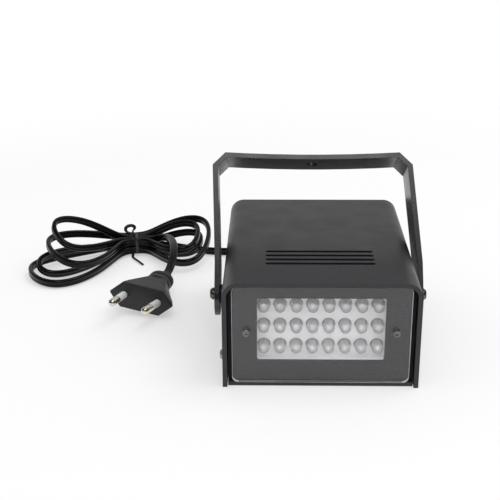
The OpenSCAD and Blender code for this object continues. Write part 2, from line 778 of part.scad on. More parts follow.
// A loop's four corners, each with the direction of the strand's wide axis
function loop(size, a, k0, k1, turn) =
  let (ax = dir(a), q = dir(a + 90), pe = q[1] < 0 ? -q : q, fr = size[1], bk = size[2], tl = size[3],
    z0 = floor_z + row * SLOTS[k0][1], z1 = floor_z + row * SLOTS[k1][1], up = cos(tl) * UP - sin(tl) * pe)
  [for (j = [0 : 3]) let (along_f = [0.58, 1.1, 1.1, 0.58][j], s = turn * [0.85, 1, -1, -0.85][j],
      v = s > 0 ? bk * s : fr * s, z = z0 + (z1 - z0) * (j + 1) / 5, lf = size[4] * [0.5, 1, 1, 0.5][j])
    [tie_at + along_f * size[0] * ax + ((v + fr) * cos(tl) - fr) * pe + [0, 0, z + (v + fr) * sin(tl) + lf], up]];
bundle = concat(
  [slot(0, 13.5), slot(0, 9), slot(0, 4.5), slot(0, 0)],
  [for (i = [0 : 3]) each concat(
    [slot(2 * i, -9)], loop(LEFT[i], left_a, 2 * i, 2 * i + 1, 1), [slot(2 * i + 1, -9)],
    i < 3 ? concat([slot(2 * i + 1, 0), slot(2 * i + 1, 9)], loop(RIGHT[i], right_a, 2 * i + 1, 2 * i + 2, -1),
      [slot(2 * i + 2, 9), slot(2 * i + 2, 0)]) : [])],
  [slot(7, 0), slot(7, 4.5), slot(7, 9), slot(7, 13.5)]
);
bundle_p = [for (c = bundle) c[0]];
bundle_w = [for (c = bundle) c[1]];
bundle_rings = 3 * (len(bundle) - 3);

// Six-sided and eight-sided sections of the flat twin lead
lead6 = [[lead_w / 2, 0], [lead_w / 2 - 0.4 * lead_t, lead_t / 2], [-lead_w / 2 + 0.4 * lead_t, lead_t / 2],
  [-lead_w / 2, 0], [-lead_w / 2 + 0.4 * lead_t, -lead_t / 2], [lead_w / 2 - 0.4 * lead_t, -lead_t / 2]];
lead8 = [[lead_w / 2, 0.2 * lead_t], [lead_w / 2 - 0.3 * lead_t, lead_t / 2],
  [-lead_w / 2 + 0.3 * lead_t, lead_t / 2], [-lead_w / 2, 0.2 * lead_t], [-lead_w / 2, -0.2 * lead_t],
  [-lead_w / 2 + 0.3 * lead_t, -lead_t / 2], [lead_w / 2 - 0.3 * lead_t, -lead_t / 2],
  [lead_w / 2, -0.2 * lead_t]];

// The bundle's own path as its rings join up, and its least gap to itself there
function knots() = [for (t = steps(0, len(bundle) - 3, bundle_rings))
  let (d = along(bundle_p, t), n = square_to(on(bundle_w, t), d)) [on(bundle_p, t), n]];
function path_points(k) = [for (i = [0 : len(k) - 2]) for (f = [0, 0.5])
  [k[i][0] * (1 - f) + k[i + 1][0] * f, k[i][1] * (1 - f) + k[i + 1][1] * f]];
function three(q) = [for (s = [-1, 0, 1]) q[0] + s * (lead_w - lead_t) / 2 * q[1]];
function bundle_gap() =
  let (q = [for (v = path_points(knots())) three(v)], m = len(q))
  min([for (i = [0 : m - 7]) min([for (j = [i + 6 : m - 1]) norm(q[i][1] - q[j][1]) > 12 ? 99 :
    min([for (a = q[i]) for (b = q[j]) norm(a - b)]) - lead_t])]);

module cord_hank() {
  echo(least_gap_in_the_bundle = bundle_gap());
  color("#141416") tube(bundle_p, bundle_w, bundle_rings, lead6);
}

gland_out = [-gland_x, panel_out + boot_l, gland_z];
case_lead = concat(
  [gland_out, gland_out + [0, 5, 0], gland_out + [-0.5, 11, -1]],
  [[-26, 93, 7.4], [-34, 99, 4.6], [-46, 100.5, 2.8], [-60, 103, 2.4], [-73, 107.5, 2.4], [-84, 110.6, 3]],
  [slot(0, 13.5)[0], slot(0, 9)[0]]
);
case_lead_w = concat(
  [for (k = [0 : 2]) [1, 0, 0]],
  [[0.9, 0.3, 0.2], [0.6, 0.5, 0.7], [0.1, 0.1, 1], [0, 0, 1], [0, 0, 1], [0, 0, 1], [0, 0, 1], [0, 0, 1]]
);

module cord_case_lead() {
  color("#141416") tube(ends(case_lead), ends(case_lead_w), 20, lead8);
}

// The plug's own frame: the pins point along -Y, the row of pins lies along X
module in_plug() {
  translate(plug_at) rotate([0, 0, plug_turn - 180]) rotate([-plug_tilt, 0, 0]) rotate([0, plug_roll, 0]) children();
}
function turned(v) =
  let (a = [v[0] * cos(plug_roll) + v[2] * sin(plug_roll), v[1], -v[0] * sin(plug_roll) + v[2] * cos(plug_roll)],
    b = [a[0], a[1] * cos(plug_tilt) + a[2] * sin(plug_tilt), -a[1] * sin(plug_tilt) + a[2] * cos(plug_tilt)],
    c = plug_turn - 180)
  [b[0] * cos(c) - b[1] * sin(c), b[0] * sin(c) + b[1] * cos(c), b[2]];
plug_exit = [0, plug_long, 5];
plug_bend = 14;
plug_axis = [0, cos(plug_bend), sin(plug_bend)];
lead_end = plug_at + turned(plug_exit);
lead_dir = turned(plug_axis);
plug_lead = concat(
  [slot(7, 9)[0], slot(7, 12.5)[0], [-88.6, 106.2, 9.6], [-84.6, 102, 11.8], [-81.5, 94, 13.9]],
  [[-78.8, 85, 14.9], [-77.2, 75, 14.2], [-77.6, 65.5, 11.2]],
  [lead_end + 4.6 * lead_dir, lead_end]
);
plug_lead_w = concat(
  [[0, 0, 1], [0, 0, 1], [0.1, 0, 1], [0.4, 0, 0.9], [0.7, 0.1, 0.7], [0.9, 0.2, 0.3], [1, 0.1, 0.1]],
  [turned([1, 0, 0]), turned([1, 0, 0]), turned([1, 0, 0])]
);

module cord_plug_lead() {
  color("#141416") tube(ends(plug_lead), ends(plug_lead_w), 20, lead8);
}

// The wire tie: up the back of the strands, round a small curl on top, down the front,
// with its free end lying out to the front. Points run along, across and up from the tie.
tie_w = 1.7;
tie_t = 0.6;
tie_b = 1.5 * col + lead_t / 2 + 0.5 + tie_t / 2;
tie_lo = 0.1 + tie_t / 2;
tie_hi = floor_z + waist_up + row + lead_w / 2 + 0.5 + tie_t / 2;
tie_local = concat(
  [[3.2, -22, 0.7], [1.2, -17.5, 0.9], [-0.8, -13, 0.8], [-2.2, -9, tie_lo], [-1.6, -4, tie_lo], [-1.2, 0, tie_lo]],
  [[-1, 4, tie_lo], [-1, tie_b, tie_lo], [-1, tie_b, 3], [-1, tie_b, 6], [-1, tie_b + 0.5, 9.8]],
  [for (k = [0 : 8]) [-2.4 + 3 * cos(-60 + k * 40), 5.6 - 0.4 * k, tie_hi + 2.1 + 2.1 * sin(-60 + k * 40)]],
  [[0.6, 1, tie_hi + 0.3], [0.9, -3, tie_hi], [0.9, -tie_b, tie_hi], [0.9, -tie_b, 9], [0.9, -tie_b, 6]],
  [[0.9, -tie_b, 3.4], [0.9, -tie_b - 0.2, 2.2]]
);
tie_wide = concat(
  [for (k = [0 : 10]) dir(waist_a)], [for (k = [0 : 8]) dir(waist_a + 90)], [for (k = [0 : 6]) dir(waist_a)]
);
function from_tie(p) = tie_at + p[0] * dir(waist_a) + p[1] * dir(waist_a + 90) + [0, 0, p[2]];

module twist_tie() {
  q = ends([for (p = tie_local) from_tie(p)]);
  sec = [for (k = [0 : 5]) [tie_w / 2 * cos(k * 60), tie_t / sqrt(3) * sin(k * 60)]];
  color("#1a1a1c") tube(q, ends(tie_wide), 84, sec);
}

// ---- plug

module hexagon(w, top, h) {
  polygon([[w, 0], [top, h], [-top, h], [-w, 0], [-top, -h], [top, -h]]);
}

module slab(y, t) {
  // A thin outline across the plug, t thick from y towards the lead
  translate([0, y + t, 0]) rotate([90, 0, 0]) linear_extrude(t) children();
}

module plug_body() {
  color("#17171a") in_plug() {
    hull() {
      slab(0, 1.5) hexagon(17.65, 10.8, 6.85);
      slab(6, 0.5) hexagon(15.8, 9.8, 6.85);
    }
    hull() {
      slab(6, 0.5) hexagon(15.8, 9.8, 6.85);
      translate([0, 0, 2]) slab(24, 0.5) hexagon(6.6, 4.6, 4.6);
    }
    hull() for (s = [-1, 1]) {
      translate([s * 1.8, 24.5, 2.1]) rotate([-90, 0, 0]) cylinder(h = 0.5, d = 10.8, $fn = 24);
      translate([s * 1.8, 31.5, 3.6]) rotate([-90, 0, 0]) cylinder(h = 0.5, d = 10.2, $fn = 24);
    }
    hull() for (s = [-1, 1]) {
      translate([s * 1.6, 31.8, 3.6]) rotate([-90, 0, 0]) cylinder(h = 0.5, d = 7, $fn = 24);
      translate([s * 1.2, 0, 0] + plug_exit) rotate([plug_bend - 90, 0, 0]) translate([0, 0, -0.5]) {
        cylinder(h = 0.5, d = 4.2, $fn = 24);
      }
    }
  }
}

module pin_frame(s) {
  // A pin's own axis, leaning towards the other pin by 0.55 mm at its tip
  translate([s * pin_span / 2, 0, 0]) rotate([0, 0, -s * atan(0.55 / pin_l)]) children();
}

module plug_pins() {
  color("#c9b98a") in_plug() for (s = [-1, 1]) pin_frame(s) {
    along_y(-sleeve_l - 0.2, -0.1, 3);
    along_y(-pin_l + pin_d / 2, -sleeve_l, pin_d);
    translate([0, -pin_l + pin_d / 2, 0]) sphere(d = pin_d);
  }
}

module plug_sleeves() {
  color("#e9e9ea") in_plug() for (s = [-1, 1]) pin_frame(s) difference() {
    along_y(-sleeve_l, -0.1, sleeve_d);
    along_y(-sleeve_l - 1, 1, 3.1);
  }
}

top_cover();
base_plate();
rear_panel();
front_lens();
front_mask();
lens_screws();
mask_screws();
cover_screws();
base_screws();
reflector_tray();
leds();
led_pins();
led_board();
led_board_screws();
control_board();
board_standoffs();
board_screws();
mains_terminal();
fuse();
fuse_clips();
dropper_capacitor();
smoothing_capacitor();
rectifier_diodes();
resistors();
switching_transistor();
timer_chip();
speed_pot();
pot_nut();
pot_shaft();
speed_knob();
mains_wires();
led_wires();
pot_wires();
yoke();
pivot_screws();
pivot_washers();
pivot_nuts();
strain_relief();
cord_case_lead();
cord_hank();
cord_plug_lead();
twist_tie();
plug_body();
plug_pins();
plug_sleeves();
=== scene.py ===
"""A mini LED strobe light: a black plastic case that tilts in a strap yoke, with 24 clear
LEDs behind a clear plate, and its tied-up flat mains lead lying beside it."""

import bmesh
import bpy
import numpy as np
from mathutils import Matrix


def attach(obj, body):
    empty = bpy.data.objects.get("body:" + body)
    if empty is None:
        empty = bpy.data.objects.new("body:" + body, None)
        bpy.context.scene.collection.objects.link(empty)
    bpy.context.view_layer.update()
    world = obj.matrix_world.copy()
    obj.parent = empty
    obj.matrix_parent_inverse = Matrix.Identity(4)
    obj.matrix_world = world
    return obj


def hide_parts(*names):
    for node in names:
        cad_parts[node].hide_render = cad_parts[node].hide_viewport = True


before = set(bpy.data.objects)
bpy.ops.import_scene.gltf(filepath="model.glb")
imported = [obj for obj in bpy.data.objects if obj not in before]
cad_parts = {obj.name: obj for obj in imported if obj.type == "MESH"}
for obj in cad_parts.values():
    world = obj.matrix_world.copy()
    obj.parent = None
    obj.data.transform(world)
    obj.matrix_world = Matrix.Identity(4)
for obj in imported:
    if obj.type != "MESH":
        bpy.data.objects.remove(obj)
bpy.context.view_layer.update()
MM = 0.001


# ---- Camera
# The photograph's view, found from the case's edges: half a metre in front of the case,
# about 23 cm up, and looking down by 22 degrees.
def camera_place(at, pitch, yaw, roll):
    """A camera's matrix. Forward is the level direction turned by yaw and dipped by pitch,
    right is level, up is right crossed with forward, and roll turns right and up about forward."""
    pitch, yaw, roll = np.radians([pitch, yaw, roll])
    forward = np.array([np.sin(yaw) * np.cos(pitch), np.cos(yaw) * np.cos(pitch), -np.sin(pitch)])
    right = np.array([np.cos(yaw), -np.sin(yaw), 0.0])
    up = np.cross(right, forward)
    matrix = np.eye(4)
    matrix[:3, 0] = np.cos(roll) * right + np.sin(roll) * up
    matrix[:3, 1] = -np.sin(roll) * right + np.cos(roll) * up
    matrix[:3, 2] = -forward
    matrix[:3, 3] = at
    return Matrix(matrix.tolist())


camera_data = bpy.data.cameras.new("photo_camera")
camera_data.sensor_width = 36
camera_data.lens = 73.58
camera_data.clip_start = 0.01
camera = bpy.data.objects.new("photo_camera", camera_data)
camera.matrix_world = camera_place((-0.0216, -0.4614, 0.2285), 21.76, -1.37, -0.35)
bpy.context.scene.collection.objects.link(camera)
bpy.context.scene.camera = camera
bpy.context.scene.view_settings.view_transform = "Standard"


# ---- Studio
# A wide white table under a white sky, with one large soft lamp to the right above the case
# and a soft box over the front. What the gloss reflects is bright behind and overhead, and
# dark towards the front, where the photographer stands.
def add_node(tree, kind, links=None, **settings):
    """One shader node. Settings are its own, and links gives each input a socket or a number."""
    node = tree.nodes.new(kind)
    for key, value in settings.items():
        setattr(node, key, value)
    for key, source in (links or {}).items():
        if isinstance(source, bpy.types.NodeSocket):
            tree.links.new(source, node.inputs[key])
        else:
            node.inputs[key].default_value = source
    return node


def lofted(rings, start=True, end=True, wrap=True):
    """A skin over rings of points (rings, points, 3). Point j of ring i, its neighbour and the
    same two of ring i + 1 make a face, and the first and last ring are filled where asked."""
    count, size = rings.shape[:2]
    at = np.arange(count * size).reshape(count, size)
    left, right = (at, np.roll(at, -1, 1)) if wrap else (at[:, :-1], at[:, 1:])
    faces = np.stack([left[:-1], right[:-1], right[1:], left[1:]], -1).reshape(-1, 4).tolist()
    faces += [at[0][::-1].tolist()] * start + [at[-1].tolist()] * end
    return rings.reshape(-1, 3), faces


def mesh_of(name, shells, sharp=35):
    """One mesh of several (points, faces) shells in millimetres, with coincident points merged,
    faces turned outwards, and edges sharper than the given angle kept crisp."""
    starts = np.cumsum([0] + [len(points) for points, _ in shells])
    faces = [[int(a) + i for i in face] for a, (_, some) in zip(starts, shells) for face in some]
    mesh = bpy.data.meshes.new(name)
    mesh.from_pydata((np.concatenate([points for points, _ in shells]) * MM).tolist(), [], faces)
    work = bmesh.new()
    work.from_mesh(mesh)
    bmesh.ops.remove_doubles(work, verts=work.verts, dist=1e-7)
    bmesh.ops.recalc_face_normals(work, faces=work.faces)
    work.to_mesh(mesh)
    work.free()
    mesh.shade_smooth()
    mesh.set_sharp_from_angle(angle=np.radians(sharp))
    return mesh


def staged(name, mesh, material):
    """A thing of the studio, which isn't part of the object."""
    thing = bpy.data.objects.new(name, mesh)
    bpy.context.scene.collection.objects.link(thing)
    thing.data.materials.append(material)


SHADOWS_TO, WHITE_FROM, PAPER_LIFT = 0.16, 0.52, 0.46


def table_finish():
    """White paper. PAPER_LIFT of what the eye and the reflections meet is plain white, and the
    rest takes the object's shadow. From SHADOWS_TO to WHITE_FROM metres it all turns white."""
    material = bpy.data.materials.new("table_paper")
    material.use_nodes = True
    tree = material.node_tree
    tree.nodes.clear()
    place = add_node(tree, "ShaderNodeTexCoord")
    far = add_node(tree, "ShaderNodeVectorMath", {0: place.outputs["Object"]}, operation="LENGTH")
    fade = add_node(tree, "ShaderNodeMapRange", {"Value": far.outputs["Value"], "From Min": SHADOWS_TO,
                                                 "From Max": WHITE_FROM}, interpolation_type="SMOOTHSTEP")
    path = add_node(tree, "ShaderNodeLightPath")
    direct = add_node(tree, "ShaderNodeMath", {0: path.outputs["Is Camera Ray"],
                                               1: path.outputs["Is Glossy Ray"]}, operation="MAXIMUM")
    seen = add_node(tree, "ShaderNodeMath", {0: direct.outputs[0], 1: path.outputs["Is Transmission Ray"]},
                    operation="MAXIMUM")
    lifted = add_node(tree, "ShaderNodeMath", {0: seen.outputs[0], 1: PAPER_LIFT}, operation="MULTIPLY")
    share = add_node(tree, "ShaderNodeMath", {0: fade.outputs["Result"], 1: lifted.outputs[0]},
                     operation="MAXIMUM")
    paper = add_node(tree, "ShaderNodeBsdfDiffuse", {"Color": (0.94, 0.93, 0.945, 1)})
    white = add_node(tree, "ShaderNodeEmission", {"Color": (1, 1, 1, 1), "Strength": 1.0})
    mixed = add_node(tree, "ShaderNodeMixShader", {0: share.outputs[0], 1: paper.outputs[0],
                                                   2: white.outputs[0]})
    add_node(tree, "ShaderNodeOutputMaterial", {"Surface": mixed.outputs[0]})
    return material


TABLE_RINGS, TABLE_SPOKES, TABLE_TOP = [1, 40, 300, 2500], 96, -0.15
table_angles = np.arange(TABLE_SPOKES) * 2 * np.pi / TABLE_SPOKES
table_rings = np.stack([np.outer(TABLE_RINGS, np.cos(table_angles)),
                        np.outer(TABLE_RINGS, np.sin(table_angles)),
                        np.full((len(TABLE_RINGS), TABLE_SPOKES), TABLE_TOP)], -1)
staged("table", mesh_of("table", [lofted(table_rings, start=True, end=False)]), table_finish())

FRONT_GLOW, REAR_GLOW, SKY_LIGHT = 0.1, 0.66, 0.74
world = bpy.data.worlds.new("studio_sky")
bpy.context.scene.world = world
world.use_nodes = True
sky = world.node_tree
sky.nodes.clear()
rays = add_node(sky, "ShaderNodeLightPath")
seen = add_node(sky, "ShaderNodeMath", {0: rays.outputs["Is Camera Ray"],
                                        1: rays.outputs["Is Transmission Ray"]}, operation="MAXIMUM")
aim = add_node(sky, "ShaderNodeSeparateXYZ", {0: add_node(sky, "ShaderNodeTexCoord").outputs["Generated"]})
behind = add_node(sky, "ShaderNodeMapRange", {"Value": aim.outputs["Y"], "From Min": -0.1, "From Max": 0.95,
                                              "To Min": FRONT_GLOW, "To Max": REAR_GLOW},
                  interpolation_type="SMOOTHSTEP")
level = add_node(sky, "ShaderNodeMix", {0: rays.outputs["Is Glossy Ray"], 2: SKY_LIGHT, 3: behind.outputs[0]})
strength = add_node(sky, "ShaderNodeMath", {0: level.outputs[0], 1: seen.outputs[0]}, operation="MAXIMUM")
glow = add_node(sky, "ShaderNodeBackground", {"Color": (1, 1, 1, 1), "Strength": strength.outputs[0]})
add_node(sky, "ShaderNodeOutputWorld", {"Surface": glow.outputs[0]})


def lamp(name, at, towards, size, power):
    """A square soft lamp at one point that faces another."""
    data = bpy.data.lights.new(name, "AREA")
    data.size, data.energy = size, power
    thing = bpy.data.objects.new(name, data)
    back = np.array(at, float) - np.array(towards, float)
    back /= np.linalg.norm(back)
    side = np.cross([0, 0, 1.0], back)
    side /= np.linalg.norm(side)
    matrix = np.eye(4)
    matrix[:3, 0], matrix[:3, 1], matrix[:3, 2], matrix[:3, 3] = side, np.cross(back, side), back, at
    thing.matrix_world = Matrix(matrix.tolist())
    bpy.context.scene.collection.objects.link(thing)


lamp("key_lamp", (0.75, 0.1, 1.45), (0, 0, 0.03), 0.9, 6.8)
lamp("front_box", (0.02, -0.64, 1.08), (0, 0, 0.05), 0.46, 2.6)


# ---- Base plate
# A flat moulding in matt black that closes the case from below, held by four countersunk
# screws. It takes the first of the moulded finishes, which the other mouldings share.
def skin_group():
    """The surface of a moulding or a coat: fine grain as a bump, broad patches in colour and
    gloss, and paler, smoother skin where the Edge input and a noise are both high."""
    tree = bpy.data.node_groups.new("moulded_skin", "ShaderNodeTree")
    for label, kind, value in (("Colour", "NodeSocketColor", (0.05, 0.05, 0.05, 1)),
                               ("Worn", "NodeSocketColor", (0.1, 0.1, 0.1, 1)),
                               ("Edge", "NodeSocketFloat", 0.0), ("Roughness", "NodeSocketFloat", 0.5),
                               ("Patches", "NodeSocketFloat", 0.1), ("Scale", "NodeSocketFloat", 2500.0),
                               ("Depth", "NodeSocketFloat", 0.00001)):
        tree.interface.new_socket(label, in_out="INPUT", socket_type=kind).default_value = value
    for label, kind in (("Colour", "NodeSocketColor"), ("Roughness", "NodeSocketFloat"),
                        ("Normal", "NodeSocketVector")):
        tree.interface.new_socket(label, in_out="OUTPUT", socket_type=kind)
    given = add_node(tree, "NodeGroupInput").outputs
    place = add_node(tree, "ShaderNodeTexCoord").outputs["Object"]
    wide = add_node(tree, "ShaderNodeMath", {0: given["Scale"], 1: 0.035}, operation="MULTIPLY")
    grain = add_node(tree, "ShaderNodeTexNoise", {"Vector": place, "Scale": given["Scale"], "Detail": 2.0})
    patch = add_node(tree, "ShaderNodeTexNoise", {"Vector": place, "Scale": wide.outputs[0], "Detail": 3.0})
    swing = add_node(tree, "ShaderNodeMapRange", {"Value": patch.outputs["Fac"], "From Min": 0.3,
                                                  "From Max": 0.7, "To Min": -1.0, "To Max": 1.0})
    change = add_node(tree, "ShaderNodeMath", {0: swing.outputs[0], 1: given["Patches"]}, operation="MULTIPLY")
    shade = add_node(tree, "ShaderNodeMath", {0: change.outputs[0], 1: 1.0}, operation="ADD")
    toned = add_node(tree, "ShaderNodeHueSaturation", {"Value": shade.outputs[0], "Color": given["Colour"]})
    broken = add_node(tree, "ShaderNodeTexNoise", {"Vector": place, "Scale": 260.0, "Detail": 4.0})
    spots = add_node(tree, "ShaderNodeMapRange", {"Value": broken.outputs["Fac"], "From Min": 0.42,
                                                  "From Max": 0.62})
    worn = add_node(tree, "ShaderNodeMath", {0: spots.outputs[0], 1: given["Edge"]}, operation="MULTIPLY")
    colour = add_node(tree, "ShaderNodeMix", {0: worn.outputs[0], 6: toned.outputs[0], 7: given["Worn"]},
                      data_type="RGBA")
    gloss = add_node(tree, "ShaderNodeMath", {0: change.outputs[0], 1: 0.6, 2: given["Roughness"]},
                     operation="MULTIPLY_ADD")
    fine = add_node(tree, "ShaderNodeMath", {0: grain.outputs["Fac"], 1: 0.12, 2: gloss.outputs[0]},
                    operation="MULTIPLY_ADD")
    rubbed = add_node(tree, "ShaderNodeMath", {0: worn.outputs[0], 1: -0.1, 2: fine.outputs[0]},
                      operation="MULTIPLY_ADD")
    bump = add_node(tree, "ShaderNodeBump", {"Height": grain.outputs["Fac"], "Distance": given["Depth"]})
    add_node(tree, "NodeGroupOutput", {"Colour": colour.outputs[2], "Roughness": rubbed.outputs[0],
                                       "Normal": bump.outputs[0]})
    return tree


moulded_skin = skin_group()
GRAIN_MEAN = 0.06


def skin(name, colour, worn, roughness, patches=0.1, scale=2500.0, depth=0.00001, metallic=0.0, specular=0.5):
    """A material of the moulded skin, with its own colours, gloss and grain."""
    material = bpy.data.materials.new(name)
    material.use_nodes = True
    tree = material.node_tree
    shader = tree.nodes["Principled BSDF"]
    rim = add_node(tree, "ShaderNodeAttribute", attribute_name="edge")
    cover = add_node(tree, "ShaderNodeGroup", node_tree=moulded_skin)
    tree.links.new(rim.outputs["Fac"], cover.inputs["Edge"])
    for key, value in {"Colour": (*colour, 1), "Worn": (*worn, 1), "Roughness": roughness - GRAIN_MEAN,
                       "Patches": patches, "Scale": scale, "Depth": depth}.items():
        cover.inputs[key].default_value = value
    tree.links.new(cover.outputs["Colour"], shader.inputs["Base Color"])
    tree.links.new(cover.outputs["Roughness"], shader.inputs["Roughness"])
    tree.links.new(cover.outputs["Normal"], shader.inputs["Normal"])
    shader.inputs["Metallic"].default_value = metallic
    shader.inputs["Specular IOR Level"].default_value = specular
    return material


def finished(thing, material):
    """Gives a piece its material, in place of any it had."""
    thing.data.materials.clear()
    thing.data.materials.append(material)
    return thing


def eased(node, name, body, width, material, turn=30):
    """The frame piece with its facets joined into whole faces and each edge sharper than turn
    rolled over by width (mm). The face attribute "edge" is 1 on the rolled edges."""
    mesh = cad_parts[node].data.copy()
    mesh.name = name
    work = bmesh.new()
    work.from_mesh(mesh)
    bmesh.ops.remove_doubles(work, verts=work.verts, dist=2e-6)
    bmesh.ops.dissolve_limit(work, angle_limit=np.radians(0.6), verts=work.verts, edges=work.edges)
    rim = work.faces.layers.float.new("edge")
    crisp = [e for e in work.edges if len(e.link_faces) == 2 and e.calc_face_angle() > np.radians(turn)]
    made = bmesh.ops.bevel(work, geom=crisp, offset=width * MM, segments=2, profile=0.5, affect="EDGES",
                           clamp_overlap=True)
    for face in made["faces"]:
        face[rim] = 1.0
    for face in work.faces:
        face.smooth = True
    work.to_mesh(mesh)
    work.free()
    thing = bpy.data.objects.new(name, mesh)
    bpy.context.scene.collection.objects.link(thing)
    weigh = thing.modifiers.new("even_normals", "WEIGHTED_NORMAL")
    weigh.weight = 100
    finished(thing, material)
    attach(thing, body)
    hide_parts(node)
    return thing


black_base = skin("black_base", (0.02, 0.02, 0.021), (0.06, 0.06, 0.06), 0.55, depth=0.000015)
eased("base_plate", "bottom_plate", "case", 0.25, black_base)


# ---- Cover
# A channel of satin black plastic: top and two walls in one moulding, with four vent slots.
# It slides over the base and is held by two screws a side.
def cover_finish():
    """Satin black skin, with one small dark mark near the rear and a faint scuff at the front."""
    material = skin("black_cover", (0.0175, 0.0162, 0.0192), (0.05, 0.05, 0.053), 0.42, patches=0.07,
                    scale=2200.0, depth=0.000012)
    tree = material.node_tree
    shader = tree.nodes["Principled BSDF"]
    plain = shader.inputs["Base Color"].links[0].from_socket
    place = add_node(tree, "ShaderNodeTexCoord").outputs["Object"]
    for middle, size, paint in (((0.0296, 0.049, 0.051), (0.0011, 0.0006, 0.004), (0.003, 0.003, 0.003, 1)),
                                ((0.0192, -0.0394, 0.051), (0.0036, 0.0007, 0.004), (0.012, 0.012, 0.013, 1))):
        moved = add_node(tree, "ShaderNodeMapping", {"Vector": place, "Location": middle, "Scale": size},
                         vector_type="TEXTURE")
        length = add_node(tree, "ShaderNodeVectorMath", {0: moved.outputs[0]}, operation="LENGTH")
        inside = add_node(tree, "ShaderNodeMapRange", {"Value": length.outputs["Value"], "From Min": 1.2,
                                                       "From Max": 0.7})
        plain = add_node(tree, "ShaderNodeMix", {0: inside.outputs[0], 6: plain, 7: paint},
                         data_type="RGBA").outputs[2]
    tree.links.new(plain, shader.inputs["Base Color"])
    return material


eased("top_cover", "cover", "case", 0.3, cover_finish())

# ---- Rear panel
# The flat back of the case, in the same matt black as the base, with the speed control and
# the lead through it and two screw blocks moulded to its sides.
eased("rear_panel", "back_panel", "case", 0.25, black_base)

# ---- Reflector tray
# A silver-white moulding with a deep pocket and one hole for each LED, a little wider than
# the LED's flange. It carries the LED board on four bosses and takes the front screws.
white_tray = skin("white_tray", (0.96, 0.96, 0.965), (0.88, 0.88, 0.89), 0.38, patches=0.04, scale=1800.0,
                  depth=0.00001)
eased("reflector_tray", "led_tray", "case", 0.18, white_tray)


# ---- LEDs
# 24 clear 5 mm LEDs, cast in water-clear epoxy over a stamped lead frame: a wide post with
# the cup on the left and a thin one on the right, whose pins are soldered behind the board.
def spun(profile, count=24):
    """A profile of (radius, along) points turned about the Y axis: x = radius cos a,
    z = radius sin a and y = along, for count angles a."""
    a = np.arange(count) * 2 * np.pi / count
    radius, along = np.array(profile, float).T
    return np.stack([np.outer(radius, np.cos(a)), np.repeat(along[:, None], count, 1),
                     np.outer(radius, np.sin(a))], -1)


def plate_shell(outline, low, high):
    """A flat outline of (x, y) points made into a plate between two heights in z."""
    flat = np.array(outline, float)
    return lofted(np.stack([np.column_stack([flat, np.full(len(flat), z)]) for z in (low, high)]))


def repeated(shell, offsets):
    """The same shell at each offset, as one shell."""
    points, faces = shell
    moved = (points[None] + np.array(offsets, float)[:, None]).reshape(-1, 3)
    return moved, [[k * len(points) + i for i in face] for k in range(len(offsets)) for face in faces]


def new_piece(name, body, shells, material, nodes=(), sharp=35):
    """A finished piece on its body, in place of the frame pieces named."""
    thing = bpy.data.objects.new(name, mesh_of(name, shells, sharp))
    bpy.context.scene.collection.objects.link(thing)
    finished(thing, material)
    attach(thing, body)
    if nodes:
        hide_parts(*nodes)
    return thing


def clear_finish(name, colour, ior, clear=1.0, rim_roughness=0.0):
    """Clear plastic that passes the lamps' light to shadow rays. Where clear is below 1 the rest
    of it scatters like its colour, and faces whose attribute "edge" is 1 have rim_roughness."""
    material = bpy.data.materials.new(name)
    material.use_nodes = True
    tree = material.node_tree
    shader = tree.nodes["Principled BSDF"]
    shader.inputs["Base Color"].default_value = (*colour, 1)
    shader.inputs["Transmission Weight"].default_value = clear
    shader.inputs["IOR"].default_value = ior
    shader.inputs["Roughness"].default_value = 0.0
    if rim_roughness:
        rim = add_node(tree, "ShaderNodeAttribute", attribute_name="edge")
        frosted = add_node(tree, "ShaderNodeMath", {0: rim.outputs["Fac"], 1: rim_roughness},
                           operation="MULTIPLY")
        tree.links.new(frosted.outputs[0], shader.inputs["Roughness"])
    through = add_node(tree, "ShaderNodeBsdfTransparent", {"Color": (*colour, 1)})
    path = add_node(tree, "ShaderNodeLightPath")
    mixed = add_node(tree, "ShaderNodeMixShader", {0: path.outputs["Is Shadow Ray"], 1: shader.outputs[0],
                                                   2: through.outputs[0]})
    tree.links.new(mixed.outputs[0], tree.nodes["Material Output"].inputs["Surface"])
    return material


LED_TIP, LED_BACK, LED_RADIUS = -51.5, -42.9, 2.5
LED_MIDDLE, COLUMN_PITCH, ROW_PITCH = 26.8, 7.3, 10.1
PIN_OFF, PIN_HALF, PIN_END = 1.27, 0.25, -39.3
led_places = [((i - 3.5) * COLUMN_PITCH, 0, LED_MIDDLE + (j - 1) * ROW_PITCH)
              for i in range(8) for j in range(3)]
dome = np.radians(np.linspace(4, 90, 12))
led_profile = np.concatenate([
    np.column_stack([LED_RADIUS * np.sin(dome), LED_TIP + LED_RADIUS * (1 - np.cos(dome))]),
    [(LED_RADIUS, -44.0), (2.82, -43.9), (2.9, -43.8), (2.9, -43.0), (2.8, LED_BACK)],
])
# A third of the clear epoxy scatters white: painted reflection, standing for the tray and floor seen refracted
# and reflected in the domes.
led_epoxy = clear_finish("led_epoxy", (0.99, 0.995, 0.995), 1.28, clear=0.66)
new_piece("led_bodies", "case", [repeated(lofted(spun(led_profile, 28)), led_places)], led_epoxy,
          ["leds"])

